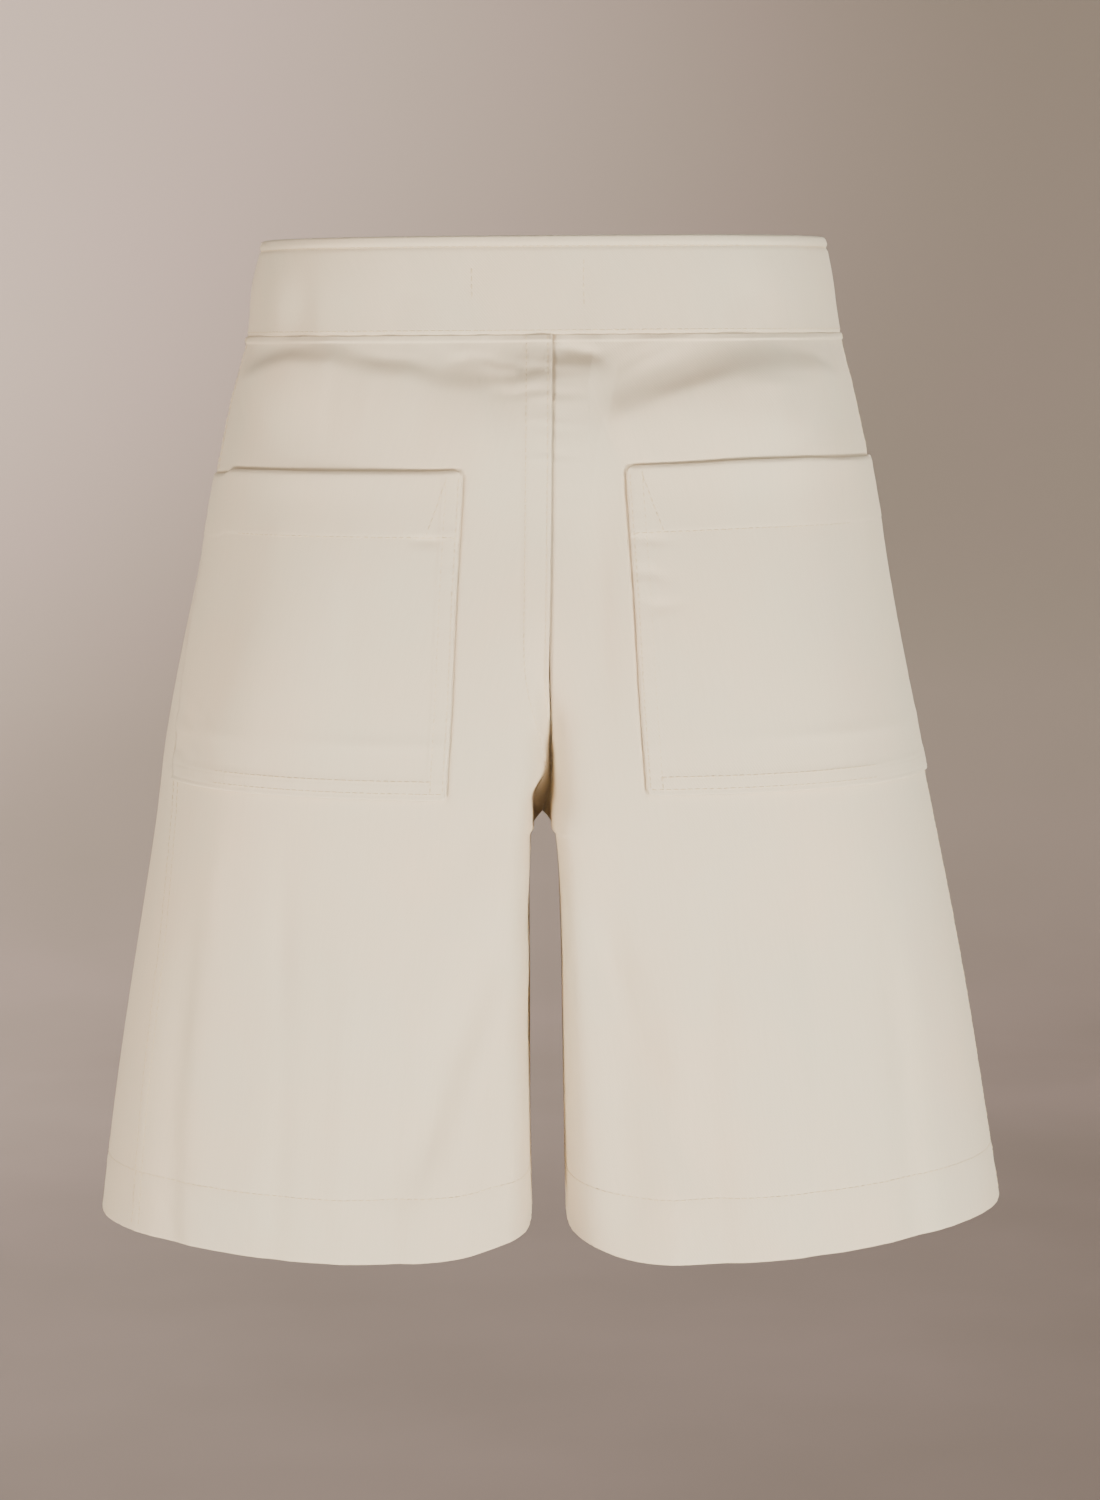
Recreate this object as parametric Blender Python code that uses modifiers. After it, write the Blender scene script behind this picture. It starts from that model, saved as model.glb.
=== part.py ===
"""Bermuda shorts in heavy cotton twill, filled out as if worn.

The origin is the middle of the waist opening, half way up the waistband. +X is the wearer's right,
+Y the front and +Z up. Sizes are in millimetres, and MM turns them into metres where a mesh is made.
Each cut piece is a wall of cloth: a grid of points on the garment's outer surface, and the same grid
moved in by the cloth's thickness.
"""
import functools
import math

import bmesh
import bpy
import numpy as np

MM = 0.001
COLLECTION_NAME = "bermuda_shorts"

# Driving sizes
BAND_HEIGHT = 46.0
CROTCH_Z = -266.0
HEM_Z = -468.5
HEM_DIP = 7.7  # how much lower the hem hangs at the back than at the side seams
HEM_DIP_POWER = 4
HEM_TILT = 0.024  # how fast the wearer's right hem runs up going outwards, about HEM_TILT_X
HEM_TILT_X = 115.0
INSEAM_RISE = 6.0  # how far the back hem is drawn up beside the inseam
INSEAM_RISE_FROM = 8.0
INSEAM_RISE_REACH = {"left": 33.0, "right": 21.0}
CLOTH = 1.4
HEM_TURN = 29.0  # depth of the turned hem
HEM_CLOTH = 2.4
HEM_STEP = 2.0  # height over which the wall thickens into the hem
SEAM_GAP = 0.3
BAND_TOP_Z = BAND_HEIGHT / 2
BAND_BOTTOM_Z = -BAND_HEIGHT / 2

# Half sections of the garment at heights z: "side" is the distance of the side from the middle,
# "crown" that of the place that stands out furthest, "back" and "front" its depth there, and
# "sway" moves the section to the wearer's right, as a filled garment hangs a little unevenly.
SECTION_COLUMNS = ("z", "side", "crown", "back", "front", "sway")
SECTIONS = (
    (23.0, 141.6, 34.0, -93.5, 92.0, 0.2),
    (4.0, 146.0, 36.0, -94.5, 93.5, -0.4),
    (-23.0, 149.3, 38.0, -96.0, 95.0, 0.0),
    (-60.0, 158.8, 44.0, -102.0, 98.0, -0.3),
    (-100.0, 167.2, 50.0, -109.0, 99.5, -0.9),
    (-140.0, 174.4, 55.0, -114.0, 100.0, -1.6),
    (-180.0, 182.6, 59.0, -117.0, 100.0, -2.4),
    (-225.0, 191.4, 62.0, -117.0, 100.0, -2.5),
    (-266.0, 198.3, 65.0, -115.0, 100.0, -1.2),
    (-310.0, 206.4, 68.0, -113.0, 100.0, -0.5),
    (-360.0, 215.3, 72.0, -112.0, 101.0, -0.2),
    (-415.0, 224.0, 76.0, -111.5, 102.0, -0.1),
    (-476.0, 232.6, 79.0, -112.0, 103.0, 0.6),
)
OUTER_ROUND = 2.2  # superellipse exponents: from the side to the crown, and from the crown inwards
INNER_ROUND = 2.75
BACK_ROUND_COLUMNS = ("z", "exponent")  # the back stays flat nearly up to the inseam, most so at the crotch
BACK_ROUND = ((-476.0, 3.5), (-400.0, 4.5), (-330.0, 6.0), (-266.0, 8.0))

# The crotch: a seam that curves under between the legs, and the gap that opens below it
RISE_OF_CURVE = {"back": 120.0, "front": 95.0}  # height over which each rise seam curves under
CURVE_POWER = 1.5
VALLEY_ROUND = 4.0  # how sharply the two legs meet in the valley above the crotch
ARCH_DEPTH = 3.0
GAP_COLUMNS = ("drop", "half_gap")
GAPS = ((0.0, 6.0), (28.0, 7.0), (64.0, 8.0), (203.0, 8.9))
GAP_REACH = 16.0  # how far out the gap pushes the cloth
SLOT_HALF = 4.2  # the gap goes on upwards at the back as a slot between the two panels, closed by their seam
SLOT_TOP = 34.0  # its top above the crotch, the height over which it widens, and the round of its bottom
SLOT_FADE = 18.0
SLOT_BOTTOM = 6.0
GAP_OFFSET = -1.0  # the gap between the legs lies this far to the wearer's left
GAP_OFFSET_FROM = 90.0  # height above the crotch where that sideways shift begins
GAP_OFFSET_REACH = 32.0
INSEAM_AT_HEM = {"left": -30.0, "right": 6.0}  # depth of the innermost line of each leg at the hem

# Seams. At the middle of the back and front the wearer's left panel reaches a little past the middle.
CENTRE_LAP = 4.0
LAP_FROM = 56.0  # heights above the crotch where that begins, and over which it grows
LAP_FADE = 30.0
VALLEY_SHIFT = 4.6  # below the lap the valley itself lies this far to the wearer's right
VALLEY_FADE = 20.0
SIDE_SEAM_COLUMNS = ("z", "left", "right")  # how far each side seam lies round to the back
SIDE_SEAMS = ((23.0, 4.0, 0.0), (-23.0, 8.0, 0.0), (-90.0, 20.0, 0.0), (-246.0, 50.0, 0.0), (-476.0, 66.0, 0.0))

# Patch pockets, caught in the side seams
POCKET_COLUMNS = ("mouth_z", "base_z")
POCKETS = {"left": (-90.0, -246.0), "right": (-87.0, -244.0)}
POCKET_EDGE_COLUMNS = ("z", "x")
POCKET_EDGE = ((-476.0, 64.0), (-246.0, 49.0), (-199.0, 45.8), (-150.0, 43.4), (-89.0, 39.3), (0.0, 35.0))
POCKET_CLOTH = 1.3

# Large soft folds: a trough (depth below 0) or a ridge along a straight line on one face
FOLD_COLUMNS = ("face", "x1", "z1", "x2", "z2", "half_width", "depth")
FOLDS = (
    ("back", -138.0, -42.0, -88.0, -31.0, 7.0, -1.4),
    ("back", -88.0, -31.0, -40.0, -43.0, 7.0, -1.6),
    ("back", -34.0, -38.0, -8.0, -30.0, 7.0, 0.8),
    ("back", 34.0, -51.0, 72.0, -43.0, 9.0, -2.8),
    ("back", 72.0, -43.0, 132.0, -31.0, 8.0, -2.6),
    ("back", 26.0, -120.0, 27.0, -208.0, 8.0, -1.4),
    ("back", -150.0, -135.0, -178.0, -240.0, 14.0, -1.4),
    ("back", -24.0, -330.0, -66.0, -402.0, 13.0, -1.8),
    ("back", 24.0, -330.0, 62.0, -402.0, 13.0, -1.8),
    ("back", 140.0, -300.0, 158.0, -420.0, 18.0, -1.2),
    ("back", -140.0, -310.0, -160.0, -430.0, 18.0, -1.2),
    ("front", -128.0, -40.0, -70.0, -34.0, 8.0, -1.5),
    ("front", 60.0, -36.0, 126.0, -44.0, 8.0, -1.5),
    ("front", -30.0, -225.0, -104.0, -196.0, 11.0, -2.0),
    ("front", 30.0, -225.0, 110.0, -204.0, 11.0, -1.8),
    ("front", -34.0, -250.0, -120.0, -240.0, 13.0, -1.5),
    ("front", 34.0, -251.0, 112.0, -248.0, 13.0, -1.6),
    ("front", -30.0, -320.0, -74.0, -410.0, 14.0, -2.0),
    ("front", 30.0, -310.0, 70.0, -404.0, 14.0, -2.0),
    ("front", -140.0, -290.0, -156.0, -420.0, 18.0, -1.2),
    ("front", 142.0, -280.0, 160.0, -410.0, 18.0, -1.2),
)

# The waistband: one strip, its wearer's-left end lapped over its right end at the centre front
BAND_CLOTH = 2.4
BAND_PROUD = 0.8  # its outer face stands this far outside the panels' outer faces
BAND_OVER = 14.0  # how far each end runs past the centre front
BAND_UNDER = 22.0
BAND_RAMP = 34.0  # length over which an end moves out or in to make the lap
BAND_STEPS = 72

# Front opening and its fastenings
ZIP_HALF_WIDTH = 13.0
ZIP_CENTRE = -4.0
ZIP_Z = (-27.0, -148.0)
ZIP_CLOTH = 1.6
SHIELD_X = (-22.0, 22.0)
SHIELD_Z = (-26.0, -160.0)
BUTTON_PROFILE_COLUMNS = ("radius", "height")
BUTTON_PROFILE = ((0.0, 0.6), (5.9, 0.6), (6.9, 1.3), (7.6, 1.6), (8.5, 0.7), (8.2, -0.9), (7.1, -1.6), (0.0, -1.6))
BUTTON_HALF = 1.6  # half its thickness
THREAD_HOLES = 4
THREAD_HOLE_RADIUS = 1.0
THREAD_HOLE_SPACING = 2.1  # from the button's middle

# How finely the grids are drawn
COLUMNS_TO_EDGE = 10
COLUMNS_TO_CENTRE = (0.1, 0.19, 0.25, 0.29, 0.33, 0.4, 0.55, 0.77, 1.0)  # shares of the way from that edge
RISES = (14.0, 6.0, 1.5, 0.0)  # rows close above the crotch
DROPS = (1.2, 4.0, 8.0, 18.0, 36.0, 60.0, 88.0, 116.0, 144.0)  # rows below the crotch
POCKET_ROWS = 10
YOKE_ROWS = 4
STRIP_COLUMNS = 5
STRIP_ROWS = 6
BUTTON_SIDES = 28
THREAD_HOLE_SIDES = 10
DENSE = 60
SLOPE_STEP = 0.25

CLOTH_ROUGHNESS = 0.9
BUTTON_ROUGHNESS = 0.35
CLOTH_COLOUR = (0.68, 0.62, 0.54)
POCKET_COLOUR = (0.70, 0.64, 0.56)
BAND_COLOUR = (0.66, 0.60, 0.52)
ZIP_COLOUR = (0.62, 0.58, 0.52)
BUTTON_COLOUR = (0.60, 0.54, 0.44)


def smooth_column(z, rows, column):
    """A table's column at height z, by a cubic through its rows."""
    heights = np.array([row[0] for row in rows])
    values = np.array([row[column] for row in rows])
    order = np.argsort(heights)
    heights = heights[order]
    values = values[order]
    slopes = np.gradient(values, heights)
    z = min(max(z, heights[0]), heights[-1])
    k = min(int(np.searchsorted(heights, z, side="right")) - 1, len(heights) - 2)
    step = heights[k + 1] - heights[k]
    t = (z - heights[k]) / step
    return (
        (2 * t**3 - 3 * t**2 + 1) * values[k]
        + (t**3 - 2 * t**2 + t) * step * slopes[k]
        + (3 * t**2 - 2 * t**3) * values[k + 1]
        + (t**3 - t**2) * step * slopes[k + 1]
    )


def ease(value):
    """0 to 1 with soft ends."""
    t = min(max(value, 0.0), 1.0)
    return t * t * (3 - 2 * t)


def half_gap(z):
    """Half the gap between the legs, which opens as an arch at the crotch."""
    drop = CROTCH_Z - z
    if drop <= 0:
        return 0.0
    drops, halves = zip(*GAPS)
    return np.interp(drop, drops, halves) * math.sqrt(1 - (1 - min(drop / ARCH_DEPTH, 1.0)) ** 2)


def inseam_depth(side, z):
    """Where the innermost line of a leg lies, front to back."""
    return INSEAM_AT_HEM[side] * min(max((CROTCH_Z - z) / (CROTCH_Z - HEM_Z), 0.0), 1.0)


def valley_shift(z):
    """How far the valley between the legs lies to the wearer's right of the gap below it."""
    rise = z - CROTCH_Z
    return VALLEY_SHIFT * ease(rise / VALLEY_FADE) * (1 - ease((rise - LAP_FROM) / LAP_FADE))


def middle_shift(z):
    """How far the middle line lies to the wearer's right."""
    return GAP_OFFSET * ease(1 - (z - CROTCH_Z) / GAP_OFFSET_FROM) + valley_shift(z)


def quarter(side, face, z):
    """Points of one face's section at height z, from the side to the centre, for the right side's x."""
    reach_out, crown, depth = (
        smooth_column(z, SECTIONS, SECTION_COLUMNS.index(name)) for name in ("side", "crown", face)
    )
    sweep = np.linspace(0.0, math.pi / 2, DENSE)
    outer_x = crown + (reach_out - crown) * np.cos(sweep) ** (2 / OUTER_ROUND)
    outer_y = depth * np.sin(sweep) ** (2 / OUTER_ROUND)

    curved = 1 - min(max((z - CROTCH_Z) / RISE_OF_CURVE[face], 0.0), 1.0) ** CURVE_POWER
    inward = np.sin(sweep)
    raw_x = crown - (crown - VALLEY_ROUND) * inward
    inner_x = crown * np.sqrt((raw_x**2 - VALLEY_ROUND**2).clip(0) / (crown**2 - VALLEY_ROUND**2))
    inseam = inseam_depth(side, z)
    seam_share = (1 - curved**INNER_ROUND) ** (1 / INNER_ROUND)
    power = np.interp(z, *zip(*BACK_ROUND)) if face == "back" else INNER_ROUND
    reach = (1 - seam_share**power) ** (1 / power)
    inner_y = inseam + (depth - inseam) * (1 - (reach * inward) ** power).clip(0) ** (1 / power)
    arch = half_gap(z)
    reaches = SLOT_HALF + valley_shift(z) * (1 if side == "left" else -1)
    slot = max(reaches, 0.0) * ease((SLOT_TOP - z + CROTCH_Z) / SLOT_FADE) if face == "back" else 0.0
    slot = slot * (1 - np.exp(-(((inner_y - inner_y[-1]) / SLOT_BOTTOM) ** 2)))
    opened = np.hypot(arch, slot * math.sqrt(1 - min(arch / GAPS[0][1], 1.0) ** 2))
    inner_x = np.hypot(inner_x, opened * np.exp(-((inner_x / GAP_REACH) ** 2) / 2))
    return np.column_stack([np.append(outer_x, inner_x[1:]), np.append(outer_y, inner_y[1:])])


def sway(z):
    return smooth_column(z, SECTIONS, SECTION_COLUMNS.index("sway"))


def chain(side, z):
    """The section of one side: centre front, round the side, to centre back, with one point more at
    each end that belongs to the next piece round."""
    front = quarter(side, "front", z)[::-1]
    back = quarter(side, "back", z)
    points = np.vstack([front, back[1:]])
    if z >= CROTCH_Z:
        before = points[1] * (-1, 1)
        after = points[-2] * (-1, 1)
    else:
        before = points[-2]
        after = points[1]
    points = np.vstack([before, points, after])
    if side == "left":
        points[:, 0] *= -1
    points[:, 0] += middle_shift(z) * np.exp(-((points[:, 0] / GAP_OFFSET_REACH) ** 2))
    points[:, 0] += sway(z)
    return points


@functools.lru_cache(maxsize=None)
def section(side, z):
    """Arc lengths (0 at the side, growing to the back), places and outward directions round one side."""
    here = chain(side, z)
    along = here[2:] - here[:-2]
    rise = chain(side, z + SLOPE_STEP) - chain(side, z - SLOPE_STEP)
    up = np.column_stack([rise[1:-1], np.full(len(along), 2 * SLOPE_STEP)])
    level = np.column_stack([along, np.zeros(len(along))])
    normals = np.cross(up, level) * (1 if side == "right" else -1)
    normals /= np.linalg.norm(normals, axis=1)[:, None]
    points = here[1:-1]
    steps = np.linalg.norm(np.diff(points, axis=0), axis=1)
    lengths = np.concatenate([[0.0], np.cumsum(steps)])
    lengths -= lengths[2 * (DENSE - 1)]
    return lengths, points, normals


def fold_lift(face, x, z):
    """How far the folds move the surface out at a place."""
    lift = 0.0
    for name, x1, z1, x2, z2, half_width, depth in FOLDS:
        if name != face:
            continue
        run = np.array([x2 - x1, z2 - z1])
        length = math.hypot(*run)
        offset = np.array([x - x1, z - z1])
        along = float(offset @ run) / length
        across = float(offset[0] * run[1] - offset[1] * run[0]) / length
        inside = ease((along + half_width) / (2 * half_width))
        inside *= ease((length + half_width - along) / (2 * half_width))
        lift += depth * inside * math.exp(-((across / half_width) ** 2))
    return lift


def seam_lap(z):
    """How far past the middle the left piece runs."""
    return CENTRE_LAP * ease((z - CROTCH_Z - LAP_FROM) / LAP_FADE)


def side_seam(side, z):
    """Arc position of the side seam."""
    return smooth_column(z, SIDE_SEAMS, SIDE_SEAM_COLUMNS.index(side))


def edge_position(lengths, points, face, z):
    """Arc position of the line that the pocket's inner edge follows."""
    heights, distances = zip(*POCKET_EDGE)
    edge_x = np.interp(z, heights, distances)
    half = lengths >= 0 if face == "back" else lengths <= 0
    distance = np.abs(points[half, 0])
    order = np.argsort(distance)
    return float(np.interp(edge_x, distance[order], lengths[half][order]))


def panel_stations(side, face, z, lengths, points):
    """Arc positions of a panel's columns at height z, from its side seam to the middle."""
    lap = seam_lap(z) * (1 if side == "left" else -1)
    if face == "back":
        start = side_seam(side, z) + SEAM_GAP / 2
        end = lengths[-1] - SEAM_GAP / 2 + lap
    else:
        start = side_seam(side, z) - SEAM_GAP / 2
        end = lengths[0] + SEAM_GAP / 2 - lap
    edge = edge_position(lengths, points, face, z)
    outer = np.linspace(start, edge, COLUMNS_TO_EDGE + 1)
    inner = edge + (end - edge) * np.array(COLUMNS_TO_CENTRE)
    return np.append(outer, inner)


def place(face, z, station, data, raised):
    """The point at an arc position of a section, moved out from the garment's surface by raised.
    A position past the middle is found on the other side, as its mirror image."""
    lengths, points, normals = data
    past = max(station - lengths[-1], lengths[0] - station, 0.0)
    if past > 0:
        station += -2 * past if station > 0 else 2 * past
    x, y = (float(np.interp(station, lengths, points[:, k])) for k in range(2))
    normal = np.array([np.interp(station, lengths, normals[:, k]) for k in range(3)])
    normal /= np.linalg.norm(normal)
    if past > 0:
        middle = float(points[-1, 0] if face == "back" else points[0, 0])
        x = 2 * middle - x
        normal[0] *= -1
    down_leg = max((CROTCH_Z - z) / (CROTCH_Z - HEM_Z), 0.0)
    share = min(y, 0.0) / points[:, 1].min()
    from_inseam = max(abs(x) - INSEAM_RISE_FROM, 0.0) / INSEAM_RISE_REACH["right" if x > 0 else "left"]
    dip = HEM_DIP * share**HEM_DIP_POWER - INSEAM_RISE * share * math.exp(-(from_inseam**2))
    if x > 0:
        dip += HEM_TILT * (HEM_TILT_X - x)
    return np.array([x, y, z - dip * down_leg**2]) + (raised + fold_lift(face, x, z)) * normal


def cloth_at(z):
    """The wall's thickness, doubled up in the turned hem."""
    return HEM_CLOTH if z < HEM_Z + HEM_TURN else CLOTH


def panel_rows(side):
    """Heights of a panel's rows, from the waistband to the hem. Two of them are the pocket's ends."""
    mouth, base = POCKETS[side]
    yoke = np.linspace(BAND_BOTTOM_Z - SEAM_GAP, mouth, YOKE_ROWS + 1)
    pocket = np.linspace(mouth, base, POCKET_ROWS + 1)
    close = [CROTCH_Z + rise for rise in RISES]
    below = [CROTCH_Z - drop for drop in DROPS]
    turned = [HEM_Z + HEM_TURN, HEM_Z + HEM_TURN - HEM_STEP, HEM_Z]
    return [*yoke, *pocket[1:], *close, *below, *turned]


def wall(outer, inner):
    """A closed mesh between two grids of points of the same shape."""
    rows, columns = outer.shape[:2]
    mesh = bmesh.new()
    layers = []
    for grid in (outer, inner):
        layers.append([[mesh.verts.new(point * MM) for point in row] for row in grid])
    front, back = layers
    for i in range(rows - 1):
        for j in range(columns - 1):
            for layer in layers:
                corners = (layer[i][j], layer[i][j + 1], layer[i + 1][j + 1], layer[i + 1][j])
                mesh.faces.new(corners[:3])
                mesh.faces.new((corners[0], corners[2], corners[3]))
    rim = [(0, j) for j in range(columns)]
    rim += [(i, columns - 1) for i in range(1, rows)]
    rim += [(rows - 1, j) for j in range(columns - 2, -1, -1)]
    rim += [(i, 0) for i in range(rows - 2, 0, -1)]
    for (i, j), (k, m) in zip(rim, rim[1:] + rim[:1]):
        mesh.faces.new((front[i][j], front[k][m], back[k][m], back[i][j]))
    bmesh.ops.recalc_face_normals(mesh, faces=mesh.faces)
    return mesh


def material(name, colour, roughness, metallic=0.0):
    made = bpy.data.materials.new(name)
    made.use_nodes = True
    shader = made.node_tree.nodes["Principled BSDF"]
    shader.inputs["Base Color"].default_value = (*colour, 1.0)
    shader.inputs["Roughness"].default_value = roughness
    shader.inputs["Metallic"].default_value = metallic
    made.diffuse_color = (*colour, 1.0)
    return made


def add_piece(collection, name, mesh, colour, roughness):
    """A named object with its own material, from a finished bmesh."""
    data = bpy.data.meshes.new(name)
    mesh.to_mesh(data)
    mesh.free()
    data.materials.append(material(name + "_finish", colour, roughness))
    data.shade_smooth()
    data.set_sharp_from_angle(angle=math.radians(40))
    piece = bpy.data.objects.new(name, data)
    collection.objects.link(piece)
    return piece


def panel_grid(side, face, lift, rows=slice(None), columns=slice(None)):
    """A panel's grid of points, each moved out by lift(z), or the part of it that rows and columns pick."""
    grid = []
    for z in panel_rows(side)[rows]:
        data = section(side, z)
        stations = panel_stations(side, face, z, *data[:2])[columns]
        grid.append([place(face, z, station, data, lift(z)) for station in stations])
    return np.array(grid)


def keep_off_middle(grid, side):
    """Holds a panel's points on their own side of the middle below the lap, by half a seam gap."""
    sign = 1 if side == "right" else -1
    for row in grid:
        for point in row:
            if seam_lap(point[2]) == 0:
                middle = middle_shift(point[2]) + sway(point[2])
                point[0] = sign * max(sign * (point[0] - middle), SEAM_GAP / 2) + middle
    return grid


def panel(collection, side, face):
    outer = keep_off_middle(panel_grid(side, face, lambda z: 0.0), side)
    inner = keep_off_middle(panel_grid(side, face, lambda z: -cloth_at(z)), side)
    add_piece(collection, f"{face}_{side}", wall(outer, inner), CLOTH_COLOUR, CLOTH_ROUGHNESS)


def pocket(collection, side):
    """A patch made from the back panel's own points, moved out."""
    rows = slice(YOKE_ROWS, YOKE_ROWS + POCKET_ROWS + 1)
    columns = slice(0, COLUMNS_TO_EDGE + 1)
    outer = panel_grid(side, "back", lambda z: SEAM_GAP + POCKET_CLOTH, rows, columns)
    inner = panel_grid(side, "back", lambda z: SEAM_GAP, rows, columns)
    add_piece(collection, f"pocket_{side}", wall(outer, inner), POCKET_COLOUR, CLOTH_ROUGHNESS)


def waist_loop(z):
    """Arc lengths, places and outward directions round the whole waist, from the centre front by the
    wearer's right, the back and the left."""
    _, right, right_out = section("right", z)
    _, left, left_out = section("left", z)
    points = np.vstack([right, left[::-1][1:]])
    normals = np.vstack([right_out, left_out[::-1][1:]])
    steps = np.linalg.norm(np.diff(points, axis=0), axis=1)
    return np.concatenate([[0.0], np.cumsum(steps)]), points, normals


def band_offset(s, total):
    """How far the strip's middle is moved out, so that its ends lap over each other."""
    half_step = (BAND_CLOTH + SEAM_GAP) / 2
    under = 1 - ease((s - BAND_OVER) / BAND_RAMP)
    over = ease((s - total + BAND_UNDER + BAND_RAMP) / BAND_RAMP)
    return half_step * (over - under)


def waistband(collection):
    outer, inner = [], []
    for z in (BAND_TOP_Z, 0.0, BAND_BOTTOM_Z):
        lengths, points, normals = waist_loop(z)
        total = lengths[-1]
        outer_row, inner_row = [], []
        for s in np.linspace(-BAND_UNDER, total + BAND_OVER, BAND_STEPS + 1):
            wrapped = s % total
            x, y = (np.interp(wrapped, lengths, points[:, k]) for k in range(2))
            normal = np.array([np.interp(wrapped, lengths, normals[:, k]) for k in range(3)])
            normal /= np.linalg.norm(normal)
            base = np.array([x, y, z])
            lift = BAND_PROUD + band_offset(s, total)
            outer_row.append(base + normal * lift * (1, 1, 0))
            inner_row.append(base + normal * (lift - BAND_CLOTH) * (1, 1, 0))
        outer.append(outer_row)
        inner.append(inner_row)
    return add_piece(collection, "waistband", wall(np.array(outer), np.array(inner)), BAND_COLOUR, CLOTH_ROUGHNESS)


def front_strip(collection, name, x_range, z_range, near, thickness, colour):
    """A flat strip behind the front panels, near millimetres in from their outer faces."""
    columns = np.linspace(*x_range, STRIP_COLUMNS)
    heights = np.linspace(*z_range, STRIP_ROWS)
    layers = []
    for depth in (near, near + thickness):
        grid = []
        for z in heights:
            lengths, points, _ = section("right", z)
            front = lengths <= 0
            ys = np.interp(np.abs(columns), points[front, 0], points[front, 1])
            grid.append([(x, y - depth, z) for x, y in zip(columns, ys)])
        layers.append(np.array(grid))
    add_piece(collection, name, wall(*layers), colour, CLOTH_ROUGHNESS)


def button(collection):
    """A turned four-hole button on the lapped end of the waistband."""
    data = bpy.data.meshes.new("waist_button")
    points = [(radius * MM, 0.0, height * MM) for radius, height in BUTTON_PROFILE]
    data.from_pydata(points, [(k, k + 1) for k in range(len(points) - 1)], [])
    data.materials.append(material("waist_button_finish", BUTTON_COLOUR, BUTTON_ROUGHNESS))
    made = bpy.data.objects.new("waist_button", data)
    collection.objects.link(made)
    turn = made.modifiers.new("Turn", "SCREW")
    turn.steps = turn.render_steps = BUTTON_SIDES
    turn.use_merge_vertices = True
    turn.merge_threshold = 1e-5
    turn.use_smooth_shade = True
    cutters = bpy.data.collections.new("cutters")
    bpy.context.scene.collection.children.link(cutters)
    for k in range(THREAD_HOLES):
        angle = (k + 0.5) * 2 * math.pi / THREAD_HOLES
        hole = bmesh.new()
        bmesh.ops.create_cone(
            hole,
            cap_ends=True,
            segments=THREAD_HOLE_SIDES,
            radius1=THREAD_HOLE_RADIUS * MM,
            radius2=THREAD_HOLE_RADIUS * MM,
            depth=6 * BUTTON_HALF * MM,
        )
        centre = (THREAD_HOLE_SPACING * math.cos(angle) * MM, THREAD_HOLE_SPACING * math.sin(angle) * MM, 0.0)
        bmesh.ops.translate(hole, verts=hole.verts, vec=centre)
        hole_data = bpy.data.meshes.new(f"thread_hole_{k}")
        hole.to_mesh(hole_data)
        hole.free()
        cutter = bpy.data.objects.new(f"thread_hole_{k}", hole_data)
        cutter.hide_render = True
        cutter.display_type = "WIRE"
        cutter.parent = made
        cutters.objects.link(cutter)
        cut = made.modifiers.new(f"Hole {k}", "BOOLEAN")
        cut.object = cutter
    band_front = [float(section("right", z)[1][0, 1]) for z in (BAND_BOTTOM_Z, BAND_TOP_Z)]
    lean = math.atan2(band_front[0] - band_front[1], BAND_HEIGHT)
    face = sum(band_front) / 2 + BAND_PROUD + (BAND_CLOTH + SEAM_GAP) / 2
    stand_off = SEAM_GAP + BUTTON_HALF
    made.rotation_euler = (lean - math.pi / 2, 0.0, 0.0)
    made.location = (0.0, (face + stand_off * math.cos(lean)) * MM, stand_off * math.sin(lean) * MM)
    return made


def build():
    for old in list(bpy.data.objects):
        bpy.data.objects.remove(old, do_unlink=True)
    shorts = bpy.data.collections.new(COLLECTION_NAME)
    bpy.context.scene.collection.children.link(shorts)
    for side in ("left", "right"):
        for face in ("back", "front"):
            panel(shorts, side, face)
        pocket(shorts, side)
    waistband(shorts)
    behind_panel = CLOTH + SEAM_GAP
    zip_range = (ZIP_CENTRE - ZIP_HALF_WIDTH, ZIP_CENTRE + ZIP_HALF_WIDTH)
    front_strip(shorts, "fly_zip", zip_range, ZIP_Z, behind_panel, ZIP_CLOTH, ZIP_COLOUR)
    behind_zip = behind_panel + ZIP_CLOTH + SEAM_GAP
    front_strip(shorts, "fly_shield", SHIELD_X, SHIELD_Z, behind_zip, CLOTH, CLOTH_COLOUR)
    button(shorts)


build()
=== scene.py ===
"""Bermuda shorts in heavy off-white cotton twill, filled out as if worn.

Lengths are in millimetres until a mesh is made. +X is the wearer's right, +Y the front and +Z up.
The cloth is drawn from a chart of each side's surface. A place on it is given by its height z and its
arc position: the distance round the garment from the outermost line of that side, growing to the back.
"""
import math

import bmesh
import bpy
import numpy as np
from mathutils import Matrix, Vector


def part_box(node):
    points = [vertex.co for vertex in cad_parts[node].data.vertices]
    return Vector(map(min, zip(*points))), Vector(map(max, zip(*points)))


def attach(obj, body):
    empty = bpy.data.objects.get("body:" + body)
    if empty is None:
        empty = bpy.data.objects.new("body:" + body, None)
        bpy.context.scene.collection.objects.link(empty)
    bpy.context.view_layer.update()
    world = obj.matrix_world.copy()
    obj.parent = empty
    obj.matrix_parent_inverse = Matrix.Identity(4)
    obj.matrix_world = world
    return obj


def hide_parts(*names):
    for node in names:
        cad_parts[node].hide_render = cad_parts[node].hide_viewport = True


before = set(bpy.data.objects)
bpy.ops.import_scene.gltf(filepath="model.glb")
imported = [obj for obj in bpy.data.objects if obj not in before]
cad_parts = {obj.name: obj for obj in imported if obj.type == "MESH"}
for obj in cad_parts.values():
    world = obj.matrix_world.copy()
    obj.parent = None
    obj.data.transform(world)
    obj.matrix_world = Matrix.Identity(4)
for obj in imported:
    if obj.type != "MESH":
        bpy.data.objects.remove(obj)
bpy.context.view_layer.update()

MM = 0.001
SIDES = ("left", "right")
FACES = ("back", "front")
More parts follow.
